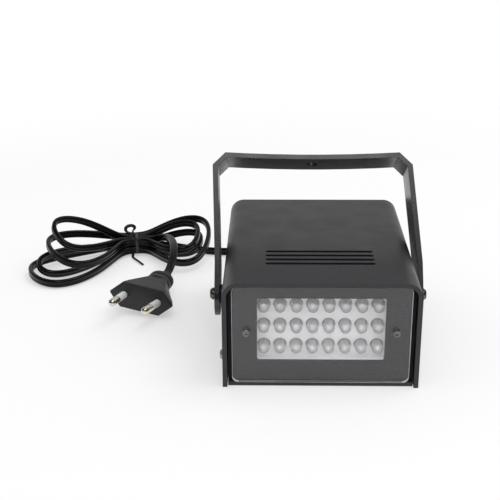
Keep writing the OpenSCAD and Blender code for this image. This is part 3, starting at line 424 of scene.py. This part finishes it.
tinned = skin("tinned_wire", (0.74, 0.74, 0.73), (0.85, 0.85, 0.85), 0.3, metallic=1.0, scale=4000.0,
              depth=0.000004)
cup_post = plate_shell([(-1.52, LED_BACK), (-1.52, -45.7), (-0.85, -47.4), (0.65, -47.4), (0.5, -45.6),
                        (-1.02, -44.2), (-1.02, LED_BACK)], -PIN_HALF, PIN_HALF)
thin_post = plate_shell([(1.02, LED_BACK), (1.02, -46.0), (1.15, -47.9), (1.5, -47.9), (1.52, -45.4),
                         (1.52, LED_BACK)], -PIN_HALF, PIN_HALF)
cup_profile = [(0.12, -47.3), (0.6, -47.3), (0.98, -48.15), (0.84, -48.15), (0.42, -47.65), (0.12, -47.6)]
pins = [plate_shell([(x - PIN_HALF, LED_BACK), (x - PIN_HALF, PIN_END),
                     (x + PIN_HALF, PIN_END), (x + PIN_HALF, LED_BACK)], -PIN_HALF, PIN_HALF)
        for x in (-PIN_OFF, PIN_OFF)]
solder = [(points + [x, 0, 0], faces) for x in (-PIN_OFF, PIN_OFF)
          for points, faces in [lofted(spun([(0.95, -41.3), (0.85, -41.1), (0.45, -40.6), (0.3, -40.1)], 12))]]
new_piece("led_lead_frames", "case", [repeated(shell, led_places) for shell in
                                      [cup_post, thin_post, lofted(spun(cup_profile, 16)), *pins, *solder]],
          tinned, ["led_pins"])


# ---- LED board
# A glass-fibre board, lacquered white on the LED side and green behind, held to the tray's
# bosses by four small screws.
def board_finish(name, white_before=None):
    """Green solder mask over square-cornered copper tracks; where the place in y is before
    white_before the lacquer is white."""
    material = bpy.data.materials.new(name)
    material.use_nodes = True
    tree = material.node_tree
    shader = tree.nodes["Principled BSDF"]
    place = add_node(tree, "ShaderNodeTexCoord").outputs["Object"]
    tracks = add_node(tree, "ShaderNodeTexVoronoi", {"Vector": place, "Scale": 210.0, "Randomness": 0.75},
                      distance="MANHATTAN", feature="F2")
    lines = add_node(tree, "ShaderNodeMapRange", {"Value": tracks.outputs["Distance"], "From Min": 0.62,
                                                  "From Max": 0.66})
    weave = add_node(tree, "ShaderNodeTexNoise", {"Vector": place, "Scale": 1400.0, "Detail": 2.0})
    green = add_node(tree, "ShaderNodeMix", {0: lines.outputs[0], 6: (0.012, 0.085, 0.028, 1),
                                             7: (0.03, 0.16, 0.05, 1)}, data_type="RGBA")
    colour = green.outputs[2]
    if white_before is not None:
        parts = add_node(tree, "ShaderNodeSeparateXYZ", {0: place})
        front = add_node(tree, "ShaderNodeMapRange", {"Value": parts.outputs["Y"],
                                                      "From Min": white_before + 0.0002,
                                                      "From Max": white_before})
        colour = add_node(tree, "ShaderNodeMix", {0: front.outputs[0], 6: colour, 7: (0.92, 0.925, 0.92, 1)},
                          data_type="RGBA").outputs[2]
    rough = add_node(tree, "ShaderNodeMapRange", {"Value": weave.outputs["Fac"], "To Min": 0.22,
                                                  "To Max": 0.42})
    height = add_node(tree, "ShaderNodeMath", {0: weave.outputs["Fac"], 1: 0.25, 2: lines.outputs[0]},
                      operation="MULTIPLY_ADD")
    bump = add_node(tree, "ShaderNodeBump", {"Height": height.outputs[0], "Distance": 0.00003})
    tree.links.new(colour, shader.inputs["Base Color"])
    tree.links.new(rough.outputs[0], shader.inputs["Roughness"])
    tree.links.new(bump.outputs[0], shader.inputs["Normal"])
    return material


def kept(node, material):
    """A frame piece that shows as it is, with its own finish."""
    return finished(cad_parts[node], material)


kept("led_board", board_finish("led_board_lacquer", -0.0425))
zinc = skin("zinc_screw", (0.55, 0.56, 0.58), (0.75, 0.75, 0.76), 0.32, metallic=1.0, scale=3000.0,
            depth=0.000006)
eased("led_board_screws", "small_board_screws", "case", 0.1, zinc)

# ---- Front mask and clear plate
# A dark frame hides the tray's rim, on four countersunk screws, and the clear acrylic plate
# with rounded corners lies over it, on two screws of its own. Its cut edges are pale: partly their
# real frosting, partly a painted highlight for the bright line they reflect. The plate's back
# stands a hair off the frame, so both its faces reflect.
dark_mask = skin("dark_mask", (0.013, 0.012, 0.015), (0.03, 0.03, 0.033), 0.75, patches=0.05, scale=2600.0,
                 depth=0.000001, specular=0.25)
eased("front_mask", "window_mask", "case", 0.15, dark_mask)
black_screw = skin("black_screw", (0.012, 0.012, 0.013), (0.08, 0.08, 0.08), 0.4, metallic=0.6, scale=3000.0,
                   depth=0.000006)
eased("mask_screws", "countersunk_mask_screws", "case", 0.08, black_screw)
clear_plate = clear_finish("clear_plate", (0.985, 0.985, 0.99), 1.49, rim_roughness=0.6)
PLATE_BACK, AIR_GAP = -52.5, 0.06
PLATE_SCREW_X, PLATE_SCREW_Z, SCREW_REACH = 33.3, 26.8, 3
clear = eased("front_lens", "clear_front_plate", "case", 0.3, clear_plate)
plate_points = np.empty(len(clear.data.vertices) * 3)
clear.data.vertices.foreach_get("co", plate_points)
plate_points = plate_points.reshape(-1, 3)
plate_points[plate_points[:, 1] > (PLATE_BACK - 0.1) * MM, 1] -= AIR_GAP * MM
clear.data.vertices.foreach_set("co", plate_points.ravel())
clear.data.update()
# Pale diffuse colour of the cut edges: part real frosting, part painted highlight standing for their bright
# reflected line.
frosted_rim_and_painted_highlight = skin("frosted_edge_and_painted_highlight", (0.8, 0.8, 0.82), (0.9, 0.9, 0.9), 0.35, patches=0.25, scale=700.0, depth=0.00002)
clear.data.materials.append(frosted_rim_and_painted_highlight)
face_count = len(clear.data.polygons)
face_normal, face_middle = np.empty(face_count * 3), np.empty(face_count * 3)
clear.data.polygons.foreach_get("normal", face_normal)
clear.data.polygons.foreach_get("center", face_middle)
face_normal, face_middle = face_normal.reshape(-1, 3), face_middle.reshape(-1, 3) / MM
from_screw = np.hypot(np.abs(face_middle[:, 0]) - PLATE_SCREW_X, face_middle[:, 2] - PLATE_SCREW_Z)
on_rim = (np.abs(face_normal[:, 1]) < 0.98) & (from_screw > SCREW_REACH)
clear.data.polygons.foreach_set("material_index", on_rim.astype(np.int32))
nickel = skin("nickel_screw", (0.36, 0.35, 0.34), (0.6, 0.59, 0.57), 0.3, metallic=1.0, scale=3000.0,
              depth=0.000006)
steel = skin("dull_steel_screw", (0.16, 0.155, 0.15), (0.62, 0.61, 0.6), 0.28, metallic=1.0, scale=3000.0,
             depth=0.000006)
eased("lens_screws", "plate_screws", "case", 0.1, steel)

# ---- Case screws
# Pan-head screws through the cover's walls into the blocks, and countersunk ones from
# below through the base plate.
eased("cover_screws", "wall_screws", "case", 0.12, nickel)
eased("base_screws", "bottom_screws", "case", 0.1, zinc)

# ---- Control board
# A green board on four brass standoffs, with the fuse in its clips, the mains terminal, the
# film and smoothing capacitors, the rectifier, the timer chip and the switching transistor.
kept("control_board", board_finish("control_board_lacquer"))
brass = skin("brass_part", (0.72, 0.53, 0.22), (0.85, 0.7, 0.4), 0.3, metallic=1.0, scale=3500.0,
             depth=0.000005)
eased("board_standoffs", "standoffs", "case", 0.15, brass)
eased("board_screws", "control_board_screws", "case", 0.12, zinc)
terminal_green = skin("terminal_green", (0.03, 0.2, 0.06), (0.06, 0.3, 0.1), 0.42)
eased("mains_terminal", "terminal_block", "case", 0.2, terminal_green)


def banded_finish(name, body, bands, ends, middle, period, roughness):
    """An axial part: body colour, painted rings between the given places along x, and bare metal
    beyond the ends. Places are in mm from the part's middle, and parts repeat every period."""
    material = skin(name, body, body, roughness, scale=3000.0, depth=0.000004)
    tree = material.node_tree
    shader = tree.nodes["Principled BSDF"]
    colour = shader.inputs["Base Color"].links[0].from_socket
    parts = add_node(tree, "ShaderNodeSeparateXYZ", {0: add_node(tree, "ShaderNodeTexCoord").outputs["Object"]})
    shift = add_node(tree, "ShaderNodeMath", {0: parts.outputs["X"], 1: (middle - period / 2) * MM},
                     operation="SUBTRACT")
    turns = add_node(tree, "ShaderNodeMath", {0: shift.outputs[0], 1: period * MM}, operation="FLOORED_MODULO")
    along = add_node(tree, "ShaderNodeMath", {0: turns.outputs[0], 1: period / 2 * MM}, operation="SUBTRACT")
    for low, high, paint in bands:
        far = add_node(tree, "ShaderNodeMath", {0: along.outputs[0], 1: (low + high) / 2 * MM,
                                                2: (high - low) / 2 * MM}, operation="COMPARE")
        colour = add_node(tree, "ShaderNodeMix", {0: far.outputs[0], 6: colour, 7: (*paint, 1)},
                          data_type="RGBA").outputs[2]
    reach = add_node(tree, "ShaderNodeMath", {0: along.outputs[0]}, operation="ABSOLUTE")
    wire = add_node(tree, "ShaderNodeMath", {0: reach.outputs[0], 1: ends * MM}, operation="GREATER_THAN")
    colour = add_node(tree, "ShaderNodeMix", {0: wire.outputs[0], 6: colour, 7: (0.7, 0.7, 0.69, 1)},
                      data_type="RGBA").outputs[2]
    tree.links.new(colour, shader.inputs["Base Color"])
    tree.links.new(wire.outputs[0], shader.inputs["Metallic"])
    return material


ALONE = 400
fuse_rings = [(-5.0, 5.0, (0.62, 0.66, 0.65))]
fuse_glass = banded_finish("fuse_glass", (0.72, 0.75, 0.74), fuse_rings, 5.2, 0.0, ALONE, 0.12)
kept("fuse", fuse_glass)
eased("fuse_clips", "fuse_holders", "case", 0.12, brass)
capacitor_red = skin("capacitor_red", (0.42, 0.045, 0.02), (0.6, 0.12, 0.06), 0.28, patches=0.12, scale=900.0,
                     depth=0.00004)
eased("dropper_capacitor", "film_capacitor", "case", 1.2, capacitor_red)
sleeve_blue = skin("capacitor_sleeve", (0.012, 0.03, 0.12), (0.04, 0.08, 0.2), 0.25, scale=1800.0,
                   depth=0.000008)
eased("smoothing_capacitor", "electrolytic_capacitor", "case", 0.3, sleeve_blue)
diode_rings = [(1.2, 1.9, (0.6, 0.6, 0.6))]
diode_epoxy = banded_finish("diode_epoxy", (0.016, 0.016, 0.017), diode_rings, 2.55, 0.0, ALONE, 0.4)
kept("rectifier_diodes", diode_epoxy)
resistor_rings = [(-2.3, -1.7, (0.25, 0.08, 0.02)), (-1.1, -0.5, (0.01, 0.01, 0.01)),
                  (0.2, 0.8, (0.6, 0.25, 0.02)), (1.8, 2.3, (0.55, 0.4, 0.1))]
resistor_body = banded_finish("resistor_body", (0.62, 0.45, 0.26), resistor_rings, 3.05, 16.0, 24, 0.35)
kept("resistors", resistor_body)
black_epoxy = skin("black_epoxy", (0.017, 0.017, 0.018), (0.05, 0.05, 0.05), 0.48, scale=3500.0, depth=0.00001)
eased("switching_transistor", "transistor", "case", 0.12, black_epoxy)
eased("timer_chip", "chip", "case", 0.1, black_epoxy)

# ---- Inner wires
# PVC-covered wires: brown from the lead to the terminal, red to the LED board and yellow
# to the speed control.
for node, slot, colour in (("mains_wires", "wire_brown", (0.16, 0.055, 0.02)),
                           ("led_wires", "wire_red", (0.4, 0.02, 0.015)),
                           ("pot_wires", "wire_yellow", (0.6, 0.42, 0.03))):
    kept(node, skin(slot, colour, colour, 0.36, patches=0.08, scale=2400.0, depth=0.000006))

# ---- Speed control
# A small potentiometer held in the rear panel by its nut, and a matt black knob with
# flutes and a pointer groove pushed on its shaft.
pot_metal = skin("pot_metal", (0.52, 0.53, 0.54), (0.7, 0.7, 0.7), 0.34, metallic=1.0, scale=2800.0,
                 depth=0.000006)
eased("speed_pot", "potentiometer", "case", 0.2, pot_metal)
eased("pot_nut", "potentiometer_nut", "case", 0.2, nickel)
shaft_metal = skin("shaft_metal", (0.68, 0.69, 0.7), (0.8, 0.8, 0.8), 0.24, metallic=1.0, scale=3600.0,
                   depth=0.000004)
eased("pot_shaft", "knob_shaft", "knob", 0.3, shaft_metal)
black_knob = skin("black_knob", (0.018, 0.018, 0.019), (0.05, 0.05, 0.05), 0.52, scale=2200.0, depth=0.00002)
eased("speed_knob", "turning_knob", "knob", 0.3, black_knob)

# ---- Yoke
# A steel strap, 18.5 by 2.5 mm, bent to a hoop with slanted corners and coated satin black.
# Its arms turn on two screws at the case's sides, on black nylon washers.
black_yoke = skin("black_yoke", (0.008, 0.0077, 0.0088), (0.05, 0.05, 0.053), 0.3, patches=0.08, scale=1900.0,
                  depth=0.000012, specular=0.8)
eased("yoke", "strap_yoke", "yoke", 0.35, black_yoke, turn=18)
black_washer = skin("black_washer", (0.018, 0.018, 0.018), (0.04, 0.04, 0.04), 0.45)
eased("pivot_washers", "friction_washers", "case", 0.25, black_washer)
browned = skin("browned_screw", (0.1, 0.08, 0.062), (0.42, 0.38, 0.33), 0.24, metallic=1.0, scale=3000.0,
               depth=0.000006)
eased("pivot_screws", "tilt_screws", "case", 0.18, browned)
eased("pivot_nuts", "tilt_nuts", "case", 0.2, nickel)

# ---- Strain relief
# A moulded bush that snaps into the rear panel, with a flange and a ribbed tapering boot.
RELIEF_X, RELIEF_Z, PANEL_OUT = -22, 11, 55.0
rib_profile = [(2.0, 50.9), (5.5, 50.9), (5.7, 51.1), (5.7, 52.5), (4.9, 52.55), (4.9, 55.0), (6.1, 55.02),
               (6.3, 55.3), (6.3, 56.4), (6.0, 56.8), (4.2, 56.85)]
for k in range(4):
    start, full, bare = PANEL_OUT + 5 + 4 * k, 4.6 - 0.225 * k, 4.2 - 0.049 * (3.2 + 4 * k)
    rib_profile += [(bare, start - 0.1), (full - 0.2, start), (full, start + 0.3), (full, start + 1.7),
                    (full - 0.2, start + 2.0), (bare - 0.1, start + 2.1)]
rib_profile += [(3.25, 76.4), (3.0, 76.9), (2.2, 77.0)]
black_plug = skin("black_plug", (0.013, 0.0125, 0.0145), (0.035, 0.035, 0.038), 0.52, patches=0.06,
                  scale=2000.0, depth=0.00002)
relief_points, relief_faces = lofted(spun(rib_profile, 40))
new_piece("strain_relief_bush", "case", [(relief_points + [RELIEF_X, 0, RELIEF_Z], relief_faces)], black_plug,
          ["strain_relief"])


# ---- Mains lead
# 1.07 m of flat twin lead in glossy black PVC, 4.6 by 2.6 mm. It comes out of the case on
# the floor, is folded into a tied bundle of eight runs, and ends in the plug.
def heading(a):
    """The level direction at a degrees from +X."""
    return np.array([np.cos(np.radians(a)), np.sin(np.radians(a)), 0.0])


def blended(points, t):
    """The uniform cubic B-spline through controls at t: four neighbours weighted by the
    cubic basis of the fraction of t."""
    k = np.clip(np.floor(t).astype(int), 0, len(points) - 4)
    f = (t - k)[:, None]
    weights = ((1 - f) ** 3, 3 * f**3 - 6 * f**2 + 4, -3 * f**3 + 3 * f**2 + 3 * f + 1, f**3)
    return sum(w * points[k + i] for i, w in enumerate(weights)) / 6


def with_ends(points):
    """Controls with one more at each end, mirrored, so that the curve starts and ends on them."""
    points = np.array(points, float)
    return np.concatenate([2 * points[:1] - points[1:2], points, 2 * points[-1:] - points[-2:-1]])


def unit(v):
    """Vectors at length 1."""
    return v / np.linalg.norm(v, axis=-1, keepdims=True)


def along_curve(points, wide, count):
    """Points on a curve and its wide axis there, at count even steps."""
    t = np.linspace(0, len(points) - 3, count)
    return np.column_stack([blended(points, t), blended(wide, t)])


def swept(line, section):
    """A section of (wide, thick) points, or one for each point of the line, carried along a line
    of points and wide axes: each ring is the point plus wide times the axis square to the line
    and thick times their cross product."""
    section = np.broadcast_to(section, (len(line), *section.shape[-2:]))
    at, wide = line[:, :3], line[:, 3:]
    ahead = unit(np.gradient(at, axis=0))
    wide = unit(wide - (wide * ahead).sum(1, keepdims=True) * ahead)
    thick = np.cross(ahead, wide)
    return at[:, None] + section[:, :, :1] * wide[:, None] + section[:, :, 1:] * thick[:, None]


UP = np.array([0, 0, 1.0])
TIE_AT = np.array([-104.0, 107.0, 0.0])
WAIST, LEFTWARD, RIGHTWARD = 10, 216, -6
COLUMN, ROW, FLOOR_Z, WAIST_UP = 3.3, 5.2, 2.4, 0.9
SLOTS = [(0.5, 0), (-0.5, 0), (1.5, 0), (-1.5, 0), (1.5, 1), (-1.5, 1), (0.5, 1), (-0.5, 1)]
LEFT_LOOPS = [(58, 13, 8, 20, 0), (63, 27, 13, 2, 0), (50, 24, 18, 9, 2), (46, 10, 16, 32, 8)]
RIGHT_LOOPS = [(37, 13, 13, 13, 3), (42, 30, 18, 14, 1), (36, 20, 12, 14, 2)]


def tied(k, s):
    """Where pass k runs, s mm past the tie, and its wide axis, which stands up there."""
    column, row = SLOTS[k]
    across, height = column * COLUMN, FLOOR_Z + WAIST_UP + ROW * row
    return np.concatenate([TIE_AT + s * heading(WAIST) + across * heading(WAIST + 90) + height * UP, UP])


def loop(size, a, first, last, turn):
    """The four controls of a loop that reaches out at a degrees, as wide in front and behind as
    size says, tilted and lifted at its far end, from pass first to pass last."""
    reach, front, back, tilt, lift = size
    ahead, side = heading(a), heading(a + 90)
    side = side if side[1] > 0 else -side
    c, s = np.cos(np.radians(tilt)), np.sin(np.radians(tilt))
    z0, z1 = (FLOOR_Z + ROW * SLOTS[k][1] for k in (first, last))
    out = []
    for j, (far, where, up) in enumerate(((0.58, 0.85, 0.5), (1.1, 1, 1), (1.1, -1, 1), (0.58, -0.85, 0.5))):
        v = turn * where * (back if turn * where > 0 else front)
        place = TIE_AT + far * reach * ahead + ((v + front) * c - front) * side
        out.append(np.concatenate([place + (z0 + (z1 - z0) * (j + 1) / 5 + (v + front) * s + lift * up) * UP,
                                   c * UP - s * side]))
    return out


bundle = [tied(0, s) for s in (13.5, 9, 4.5, 0)]
for i in range(4):
    k = 2 * i
    bundle += [tied(k, -9), *loop(LEFT_LOOPS[i], LEFTWARD, k, k + 1, 1), tied(k + 1, -9)]
    if i < 3:
        bundle += [tied(k + 1, 0), tied(k + 1, 9), *loop(RIGHT_LOOPS[i], RIGHTWARD, k + 1, k + 2, -1),
                   tied(k + 2, 9), tied(k + 2, 0)]
bundle = np.array(bundle + [tied(7, s) for s in (0, 4.5, 9, 13.5)])

case_run = [(-22, 77, 11), (-22, 82, 11), (-22.5, 88, 10), (-26, 93, 7.4), (-34, 99, 4.6), (-46, 100.5, 2.8),
            (-60, 103, 2.4), (-73, 107.5, 2.4), (-84, 110.6, 3), tied(0, 13.5)[:3], tied(0, 9)[:3]]
case_run_wide = [(1, 0, 0)] * 3 + [(0.9, 0.3, 0.2), (0.6, 0.5, 0.7), (0.1, 0.1, 1)] + [(0, 0, 1)] * 5


def plug_turned(v):
    """A direction of the plug's own frame as it lies: rolled by 7.7 degrees about its length,
    nose up by 10.6, and turned by -13.4 about the vertical. Its pins point along its own -Y."""
    roll, tilt, turn = np.radians([7.7, -10.6, -13.4])
    about_y = np.array([[np.cos(roll), 0, np.sin(roll)], [0, 1, 0], [-np.sin(roll), 0, np.cos(roll)]])
    about_x = np.array([[1, 0, 0], [0, np.cos(tilt), -np.sin(tilt)], [0, np.sin(tilt), np.cos(tilt)]])
    about_z = np.array([[np.cos(turn), -np.sin(turn), 0], [np.sin(turn), np.cos(turn), 0], [0, 0, 1]])
    return np.array(v, float) @ (about_z @ about_x @ about_y).T


PLUG_AT = np.array([-89.8, 18.1, 9.7])
PLUG_BEND = np.radians(14)
lead_end = PLUG_AT + plug_turned([0, 38, 5])
lead_way = plug_turned([0, np.cos(PLUG_BEND), np.sin(PLUG_BEND)])
plug_run = [tied(7, 9)[:3], tied(7, 12.5)[:3], (-88.6, 106.2, 9.6), (-84.6, 102, 11.8), (-81.5, 94, 13.9),
            (-78.8, 85, 14.9), (-77.2, 75, 14.2), (-77.6, 65.5, 11.2), lead_end + 4.6 * lead_way, lead_end]
plug_run_wide = [(0, 0, 1), (0, 0, 1), (0.1, 0, 1), (0.4, 0, 0.9), (0.7, 0.1, 0.7), (0.9, 0.2, 0.3),
                 (1, 0.1, 0.1), *[plug_turned([1, 0, 0])] * 3]

LEAD_START, INTO_PLUG = (-22, 74.5, 11), 2.5
lead_line = np.concatenate([
    [(*LEAD_START, 1, 0, 0)],
    along_curve(with_ends(case_run), with_ends(case_run_wide), 61)[:-1],
    along_curve(bundle[:, :3], bundle[:, 3:], 561)[:-1],
    along_curve(with_ends(plug_run), with_ends(plug_run_wide), 49),
    [(*(lead_end - INTO_PLUG * lead_way), *plug_turned([1, 0, 0]))],
])
CORE_OFF, CORE_RADIUS = 1.0, 1.3
arc = np.radians(np.linspace(-90, 90, 9))
core_round = np.column_stack([CORE_OFF + CORE_RADIUS * np.cos(arc), CORE_RADIUS * np.sin(arc)])
half_section = np.concatenate([core_round, [(0.55, 1.2), (0.0, 0.98), (-0.55, 1.2)]])
lead_section = np.concatenate([half_section, -half_section])
black_lead = skin("black_lead", (0.0032, 0.0031, 0.0036), (0.01, 0.01, 0.01), 0.22, patches=0.05, scale=220.0,
                  depth=0.00001, specular=0.22)
lead = new_piece("mains_lead", "case", [lofted(swept(lead_line, lead_section))], black_lead,
                 ["cord_case_lead", "cord_hank", "cord_plug_lead"], sharp=60)

# ---- Wire tie
# A plastic-covered wire tie, 1.7 mm wide with its wire in the middle: round the eight runs,
# with a curl on top, where it is twisted on itself, and the other end lying out to the front.
TIE_GAP, TIE_HALF, TIE_STEPS = 0.5, 0.3, 260
TIE_BACK = 1.5 * COLUMN + CORE_RADIUS + TIE_GAP + TIE_HALF
TIE_LOW, TIE_HIGH = 0.4, FLOOR_Z + WAIST_UP + ROW + CORE_OFF + CORE_RADIUS + TIE_GAP + TIE_HALF
curl = np.radians(-60 + 40 * np.arange(9))
tie_line = np.concatenate([
    [(3.2, -22, 0.7), (1.2, -17.5, 0.9), (-0.8, -13, 0.8), (-2.2, -9, TIE_LOW), (-1.6, -4, TIE_LOW),
     (-1.2, 0, TIE_LOW), (-1, 4, TIE_LOW), (-1, TIE_BACK, TIE_LOW), (-1, TIE_BACK, 3), (-1, TIE_BACK, 6),
     (-1, TIE_BACK + 0.5, 9.8)],
    np.column_stack([-2.4 + 3 * np.cos(curl), 5.6 - 0.4 * np.arange(9), TIE_HIGH + 2.1 + 2.1 * np.sin(curl)]),
    [(0.6, 1, TIE_HIGH + 0.3), (0.9, -3, TIE_HIGH), (0.9, -TIE_BACK, TIE_HIGH), (0.9, -TIE_BACK, 9),
     (0.9, -TIE_BACK, 6), (0.9, -TIE_BACK, 3.4), (0.9, -TIE_BACK - 0.2, 2.2)],
])
tie_axes = np.stack([heading(WAIST), heading(WAIST + 90), UP])
tie_points = TIE_AT + tie_line @ tie_axes
tie_wide = np.array([heading(WAIST)] * 11 + [heading(WAIST + 90)] * 9 + [heading(WAIST)] * 7)
tie_x = np.array([0.85, 0.6, 0.3, 0.0, -0.3, -0.6, -0.85])
tie_y = np.array([0.06, 0.13, 0.24, TIE_HALF, 0.24, 0.13, 0.06])
tie_section = np.concatenate([np.column_stack([tie_x, tie_y]), np.column_stack([-tie_x, -tie_y])])
black_tie = skin("black_tie", (0.014, 0.014, 0.015), (0.03, 0.03, 0.03), 0.36, scale=1500.0, depth=0.00002)
tie_share = np.linspace(0, len(tie_points) - 1, TIE_STEPS)
twisted = np.exp(-(((tie_share - 15) / 3.7) ** 4)) + 0.45 * np.exp(-((tie_share / 3.2) ** 4))
tie_sections = tie_section * np.stack([1 - 0.25 * twisted, 1 + 2.4 * twisted], -1)[:, None]
tie_curve = along_curve(with_ends(tie_points), with_ends(tie_wide), TIE_STEPS)
new_piece("wire_tie", "case", [lofted(swept(tie_curve, tie_sections))], black_tie, ["twist_tie"],
          sharp=50)


# ---- Plug
# A flat two-pin mains plug moulded on the lead in matt black PVC: a six-sided body that
# narrows to a ribbed collar and a short bent boot, with sleeved pins that lean together.
def hexagon_ring(depth, width, top, height, lift, corner):
    """A six-sided outline across the plug at one depth, with rounded corners: each corner's
    centre lies corner mm inside both edges, and five points go round it from edge to edge."""
    v = np.array([(width, 0), (top, height), (-top, height),
                  (-width, 0), (-top, -height), (top, -height)], float)
    edge = unit(np.roll(v, -1, 0) - v)
    after = np.column_stack([edge[:, 1], -edge[:, 0]])
    before = np.roll(after, 1, 0)
    centre = v - corner * (before + after) / (1 + (before * after).sum(1, keepdims=True))
    share = np.linspace(0, 1, 5)[None, :, None]
    round_it = unit(before[:, None] * (1 - share) + after[:, None] * share)
    ring = (centre[:, None] + corner * round_it).reshape(-1, 2)
    return np.column_stack([ring[:, 0], np.full(len(ring), depth), ring[:, 1] + lift])


def oval_ring(depth, width, height, lift, count=32):
    """An oval across the plug at one depth: two rounded ends joined by near-flat sides."""
    a = np.arange(count) * 2 * np.pi / count
    x, z = np.cos(a), np.sin(a)
    return np.column_stack([width * np.sign(x) * np.abs(x) ** 0.85, np.full(count, depth), height * z + lift])


def plug_placed(shell):
    """A shell of the plug's own frame, as the plug lies on the floor."""
    return PLUG_AT + plug_turned(shell[0]), shell[1]


body_rings = [hexagon_ring(*row) for row in (
    (0, 17.1, 10.4, 6.4, 0, 1.0), (0.15, 17.4, 10.6, 6.65, 0, 1.0), (0.55, 17.6, 10.75, 6.82, 0, 1.0),
    (1.5, 17.65, 10.8, 6.85, 0, 1.0), (6.2, 15.85, 9.85, 6.85, 0, 1.1), (6.5, 15.75, 9.8, 6.83, 0.01, 1.1),
    (6.8, 15.6, 9.7, 6.76, 0.04, 1.1), (15, 11.3, 7.3, 5.75, 0.95, 1.4), (24.2, 6.65, 4.65, 4.65, 1.98, 1.7))]
collar_rings = [oval_ring(*row) for row in (
    (22.8, 5.4, 4.0, 1.9), (23.4, 6.4, 4.9, 2.0), (24.0, 7.0, 5.3, 2.1), (26.4, 7.15, 5.35, 2.5),
    (26.9, 7.0, 5.2, 2.6), (27.2, 6.2, 4.3, 2.65), (28.4, 6.1, 4.2, 2.9), (28.7, 6.8, 4.95, 2.95),
    (29.2, 7.05, 5.15, 3.05), (31.2, 6.95, 5.0, 3.45), (31.9, 6.4, 4.5, 3.58), (32.1, 5.1, 3.5, 3.65),
    (33.5, 4.7, 3.2, 3.85), (35.7, 3.95, 2.6, 4.3), (37.6, 3.35, 2.15, 4.85), (38.0, 3.0, 1.9, 4.98))]
plug_shells = [plug_placed(lofted(np.stack(rings))) for rings in (body_rings, collar_rings)]
plug = new_piece("plug_moulding", "case", plug_shells, black_plug, ["plug_body"], sharp=28)
PIN_RADIUS, PIN_LENGTH, PIN_SIDE, PIN_LEAN = 2.0, 19, 9.3, 0.55


def pin_placed(shell, side):
    """A shell about a pin's own axis, put at the pin on that side and leaned in by PIN_LEAN at
    its tip, as the plug lies."""
    a = -side * np.arctan(PIN_LEAN / PIN_LENGTH)
    x, y, z = shell[0].T
    leaned = np.column_stack([side * PIN_SIDE + x * np.cos(a) - y * np.sin(a),
                              x * np.sin(a) + y * np.cos(a), z])
    return plug_placed((leaned, shell[1]))


tip = np.radians(np.linspace(6, 90, 8))
pin_profile = np.concatenate([np.column_stack([PIN_RADIUS * np.sin(tip),
                                               -PIN_LENGTH + PIN_RADIUS * (1 - np.cos(tip))]),
                              [(PIN_RADIUS, -10.35), (1.9, -10.22), (1.5, -10.2), (1.5, -0.1)]])
sleeve_profile = [(1.56, -9.95), (1.8, -10.0), (1.92, -9.85), (1.95, -9.6), (1.95, -0.1), (1.56, -0.1),
                  (1.56, -9.95)]
pin_metal = skin("pin_metal", (0.76, 0.72, 0.6), (0.86, 0.84, 0.78), 0.24, metallic=1.0, scale=2600.0,
                 depth=0.000005)
pin_sleeve = skin("pin_sleeve", (0.74, 0.74, 0.76), (0.8, 0.8, 0.8), 0.36, patches=0.04, scale=1600.0,
                  depth=0.000008)
plug_pins = new_piece("contact_pins", "case", [pin_placed(lofted(spun(pin_profile, 28)), s) for s in (-1, 1)],
                      pin_metal, ["plug_pins"])
sleeve_shells = [pin_placed(lofted(spun(sleeve_profile, 28), False, False), s) for s in (-1, 1)]
pin_sleeves = new_piece("pin_sleeves", "case", sleeve_shells, pin_sleeve, ["plug_sleeves"])
